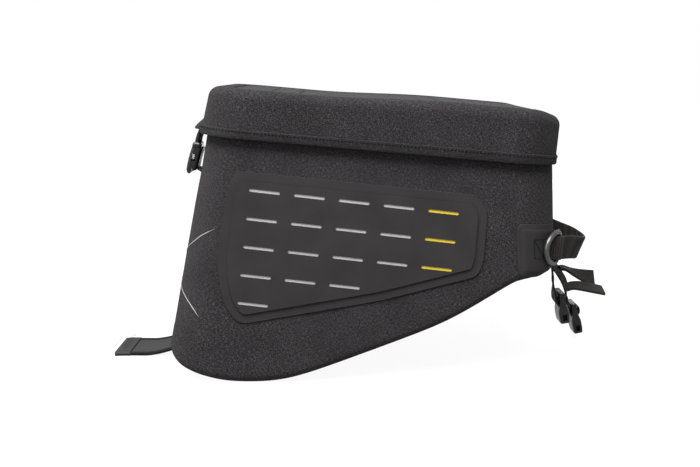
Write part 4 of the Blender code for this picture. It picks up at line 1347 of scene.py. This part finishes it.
def reflective_lines():
    """Fine reflective lines across the rear, two from each side, meeting in the middle. Their
    points are a length round the rear corner and a height."""
    low = [
        (0.0145, -0.2060), (0.0210, -0.2005), (0.0285, -0.1950), (0.0390, -0.1890),
        (0.0600, -0.1800), (0.0900, -0.1735), (0.1330, -0.1690),
    ]
    high = [
        (0.0150, -0.1250), (0.0220, -0.1295), (0.0290, -0.1340), (0.0400, -0.1420),
        (0.0600, -0.1530), (0.0900, -0.1620), (0.1330, -0.1675),
    ]
    for side in (1, -1):
        pieces = []
        for line in (low, high):
            spine = smooth_path([Vector((along, z, 0.0)) for along, z in line], 10)
            rows = []
            for index, here in enumerate(spine):
                ahead = spine[min(index + 1, len(spine) - 1)] - spine[max(index - 1, 0)]
                across = Vector((-ahead.y, ahead.x, 0.0)).normalized()
                taper = 0.00042 * min(1.0, 0.15 + index / 14)
                row = []
                for shift in (-1, 1):
                    place = here + shift * taper * across
                    row.append(list(wall_point(-1, place.x, place.y, 0.00062, side)))
                rows.append(row)
            pieces.append(solidify(grid_object("line", rows, SILVER, sharp=80.0), 0.00012))
            with_modifiers_applied(pieces[-1])
        lines = joined(f"reflective_lines_{SIDE_NAMES[side]}", pieces)
        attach(lines, "body")


def tank_pad():
    """The anti-slip pad under the saddle: a firm slab with soft ends and a grid of grip dimples."""
    soft_end = 0.0024
    least = 0.2
    pitch = 0.008
    dimple = 0.0006
    rings = []
    for x in np.linspace(PAD_REAR, PAD_FRONT, 120):
        end = min((x - PAD_REAR) / soft_end, (PAD_FRONT - x) / soft_end, 1.0)
        soft = max(math.sqrt(max(1 - (1 - end) ** 2, 0.0)), least)
        middle = straight_belly(x) + SADDLE - PAD_DROP + PAD_THICKNESS / 2
        ring = []
        for y, z in squarish(96, 0.16, 0.55):
            under = z < -0.6
            y *= PAD_HALF_WIDTH - 0.0006
            z *= PAD_THICKNESS / 2 * soft
            if under:
                z += dimple * max(math.cos(math.pi * x / pitch) * math.cos(math.pi * y / pitch), 0.0)
            ring.append((x, y, middle + 0.96 * z))
        rings.append(ring)
    pad = grid_object("grip_pad", rings, PAD, closed=True, caps=True)
    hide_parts("tank_pad")
    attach(pad, "body")


def lid_seal():
    """The foam strip in the lid that lies on the mouth, with rounded corners."""
    depth = wall_depth(RIM_TOP_Z)
    high = -RECESS - LID_WALL - 2 * GAP - 0.0020
    low = RIM_TOP_Z + 0.0022
    middle = 0.00705
    half_width = 0.00275
    rings = []
    for inward, up in squarish(20, 0.5, 0.5):
        z = (low + high) / 2 + (high - low) / 2 * up
        rings.append(BODY_OUTLINE.ring(z, depth, middle + half_width * inward))
    seal = grid_object("lid_foam_seal", [*rings, rings[0]], FOAM, closed=True)
    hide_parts("lid_seal")
    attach(seal, "lid")


def hinge_strip():
    """The cloth hinge across the front, sewn to the wall below and to the lid's edge above."""
    path = []
    for z in (-0.0700, -0.0620, -0.0540, -0.0480):
        path.append((FRONT_X + FRONT_LEAN * wall_depth(z) + 0.0008, 0, z))
    for z in (-0.0445, -0.0415):
        path.append((LID_LENGTH / 2 - 0.0012, 0, z))
    strip = webbing("cloth_hinge", smooth_path(path, 6), Vector((0.0, 0.062, 0.0)), 0.0012, TRIM)
    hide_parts("hinge_strip")
    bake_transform(strip)


def carried_over():
    """CAD nodes whose shape is right keep it and take a finished material."""
    looks = {
        "mouth_rim": BOARD, "floor_board": BOARD, "lid_board": BOARD,
        "buckle_arm_right": PLASTIC, "buckle_arm_left": PLASTIC,
    }
    for node, look in looks.items():
        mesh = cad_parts[node].data
        mesh.materials.clear()
        mesh.materials.append(look)


# ---------------------------------------------------------------- stage


def stage():
    """The floor, at the lowest point of the finished bag."""
    bm = bmesh.new()
    bmesh.ops.create_grid(bm, x_segments=1, y_segments=1, size=6.0)
    floor = bmesh_object("floor", bm, floor_look(), Matrix.Translation((0.0, 0.0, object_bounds()[0][2])))
    floor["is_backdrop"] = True


def floor_look():
    """A pale sweep that glows a little, so that only a faint contact shadow shows on it."""
    look = Look("pale_floor", 0.9, 0.05, Emission_Color=(1.0, 1.0, 1.0, 1.0), Emission_Strength=0.93)
    shade = look.noise(look.place((3.0, 3.0, 3.0), False))
    look.tint(shade, (1.0, 1.0, 1.0), (0.0, 0.055), (1.0, 0.065))
    return look.material


def light(name, position, target, size, power):
    data = bpy.data.lights.new(name, "AREA")
    data.shape = "RECTANGLE"
    data.size, data.size_y = size
    data.energy = power
    lamp = linked(name, data)
    lamp.location = position
    lamp.rotation_euler = (Vector(target) - Vector(position)).to_track_quat("-Z", "Y").to_euler()


def lights():
    """A white surround, a soft key from above, a weak one from the left and a fill behind."""
    world = bpy.data.worlds.new("studio")
    bpy.context.scene.world = world
    world.use_nodes = True
    background = world.node_tree.nodes["Background"]
    background.inputs["Color"].default_value = (1.0, 1.0, 1.0, 1.0)
    background.inputs["Strength"].default_value = 1.0
    light("overhead", (-0.25, -0.75, 1.40), (0.0, -0.1, 0.1), (1.5, 0.65), 135.0)
    light("front_left", (-1.4, -1.2, 0.7), (0.0, 0.0, 0.1), (0.8, 0.8), 25.0)
    light("back_fill", (0.35, 1.6, 0.04), (0.0, 0.0, 0.08), (1.4, 0.4), 12.0)
    bpy.data.objects["back_fill"].visible_camera = False


def camera():
    """The camera, about a metre from the near side and 9.5 degrees down."""
    data = bpy.data.cameras.new("camera")
    data.lens = 50.4
    data.sensor_width = 36.0
    view = linked("camera", data)
    view.location = (-0.01444, -0.966, 0.24668)
    view.rotation_euler = (math.radians(90.0 - 9.5), 0.0, 0.0)
    bpy.context.scene.camera = view
    bpy.context.scene.view_settings.view_transform = "Standard"


bag_body()
lid_shell()
lid_hem()
lid_top_panel()
pull_tab()
closure_buckle()
closure_plug()
closure_straps()
reflective_lines()
carry_handle()
for side in (1, -1):
    side_panel(side)
    corner_patch(side)
    d_ring(side)
    front_strap(side)
rear_strap()
tank_pad()
lid_seal()
hinge_strip()
carried_over()
stage()
lights()
camera()
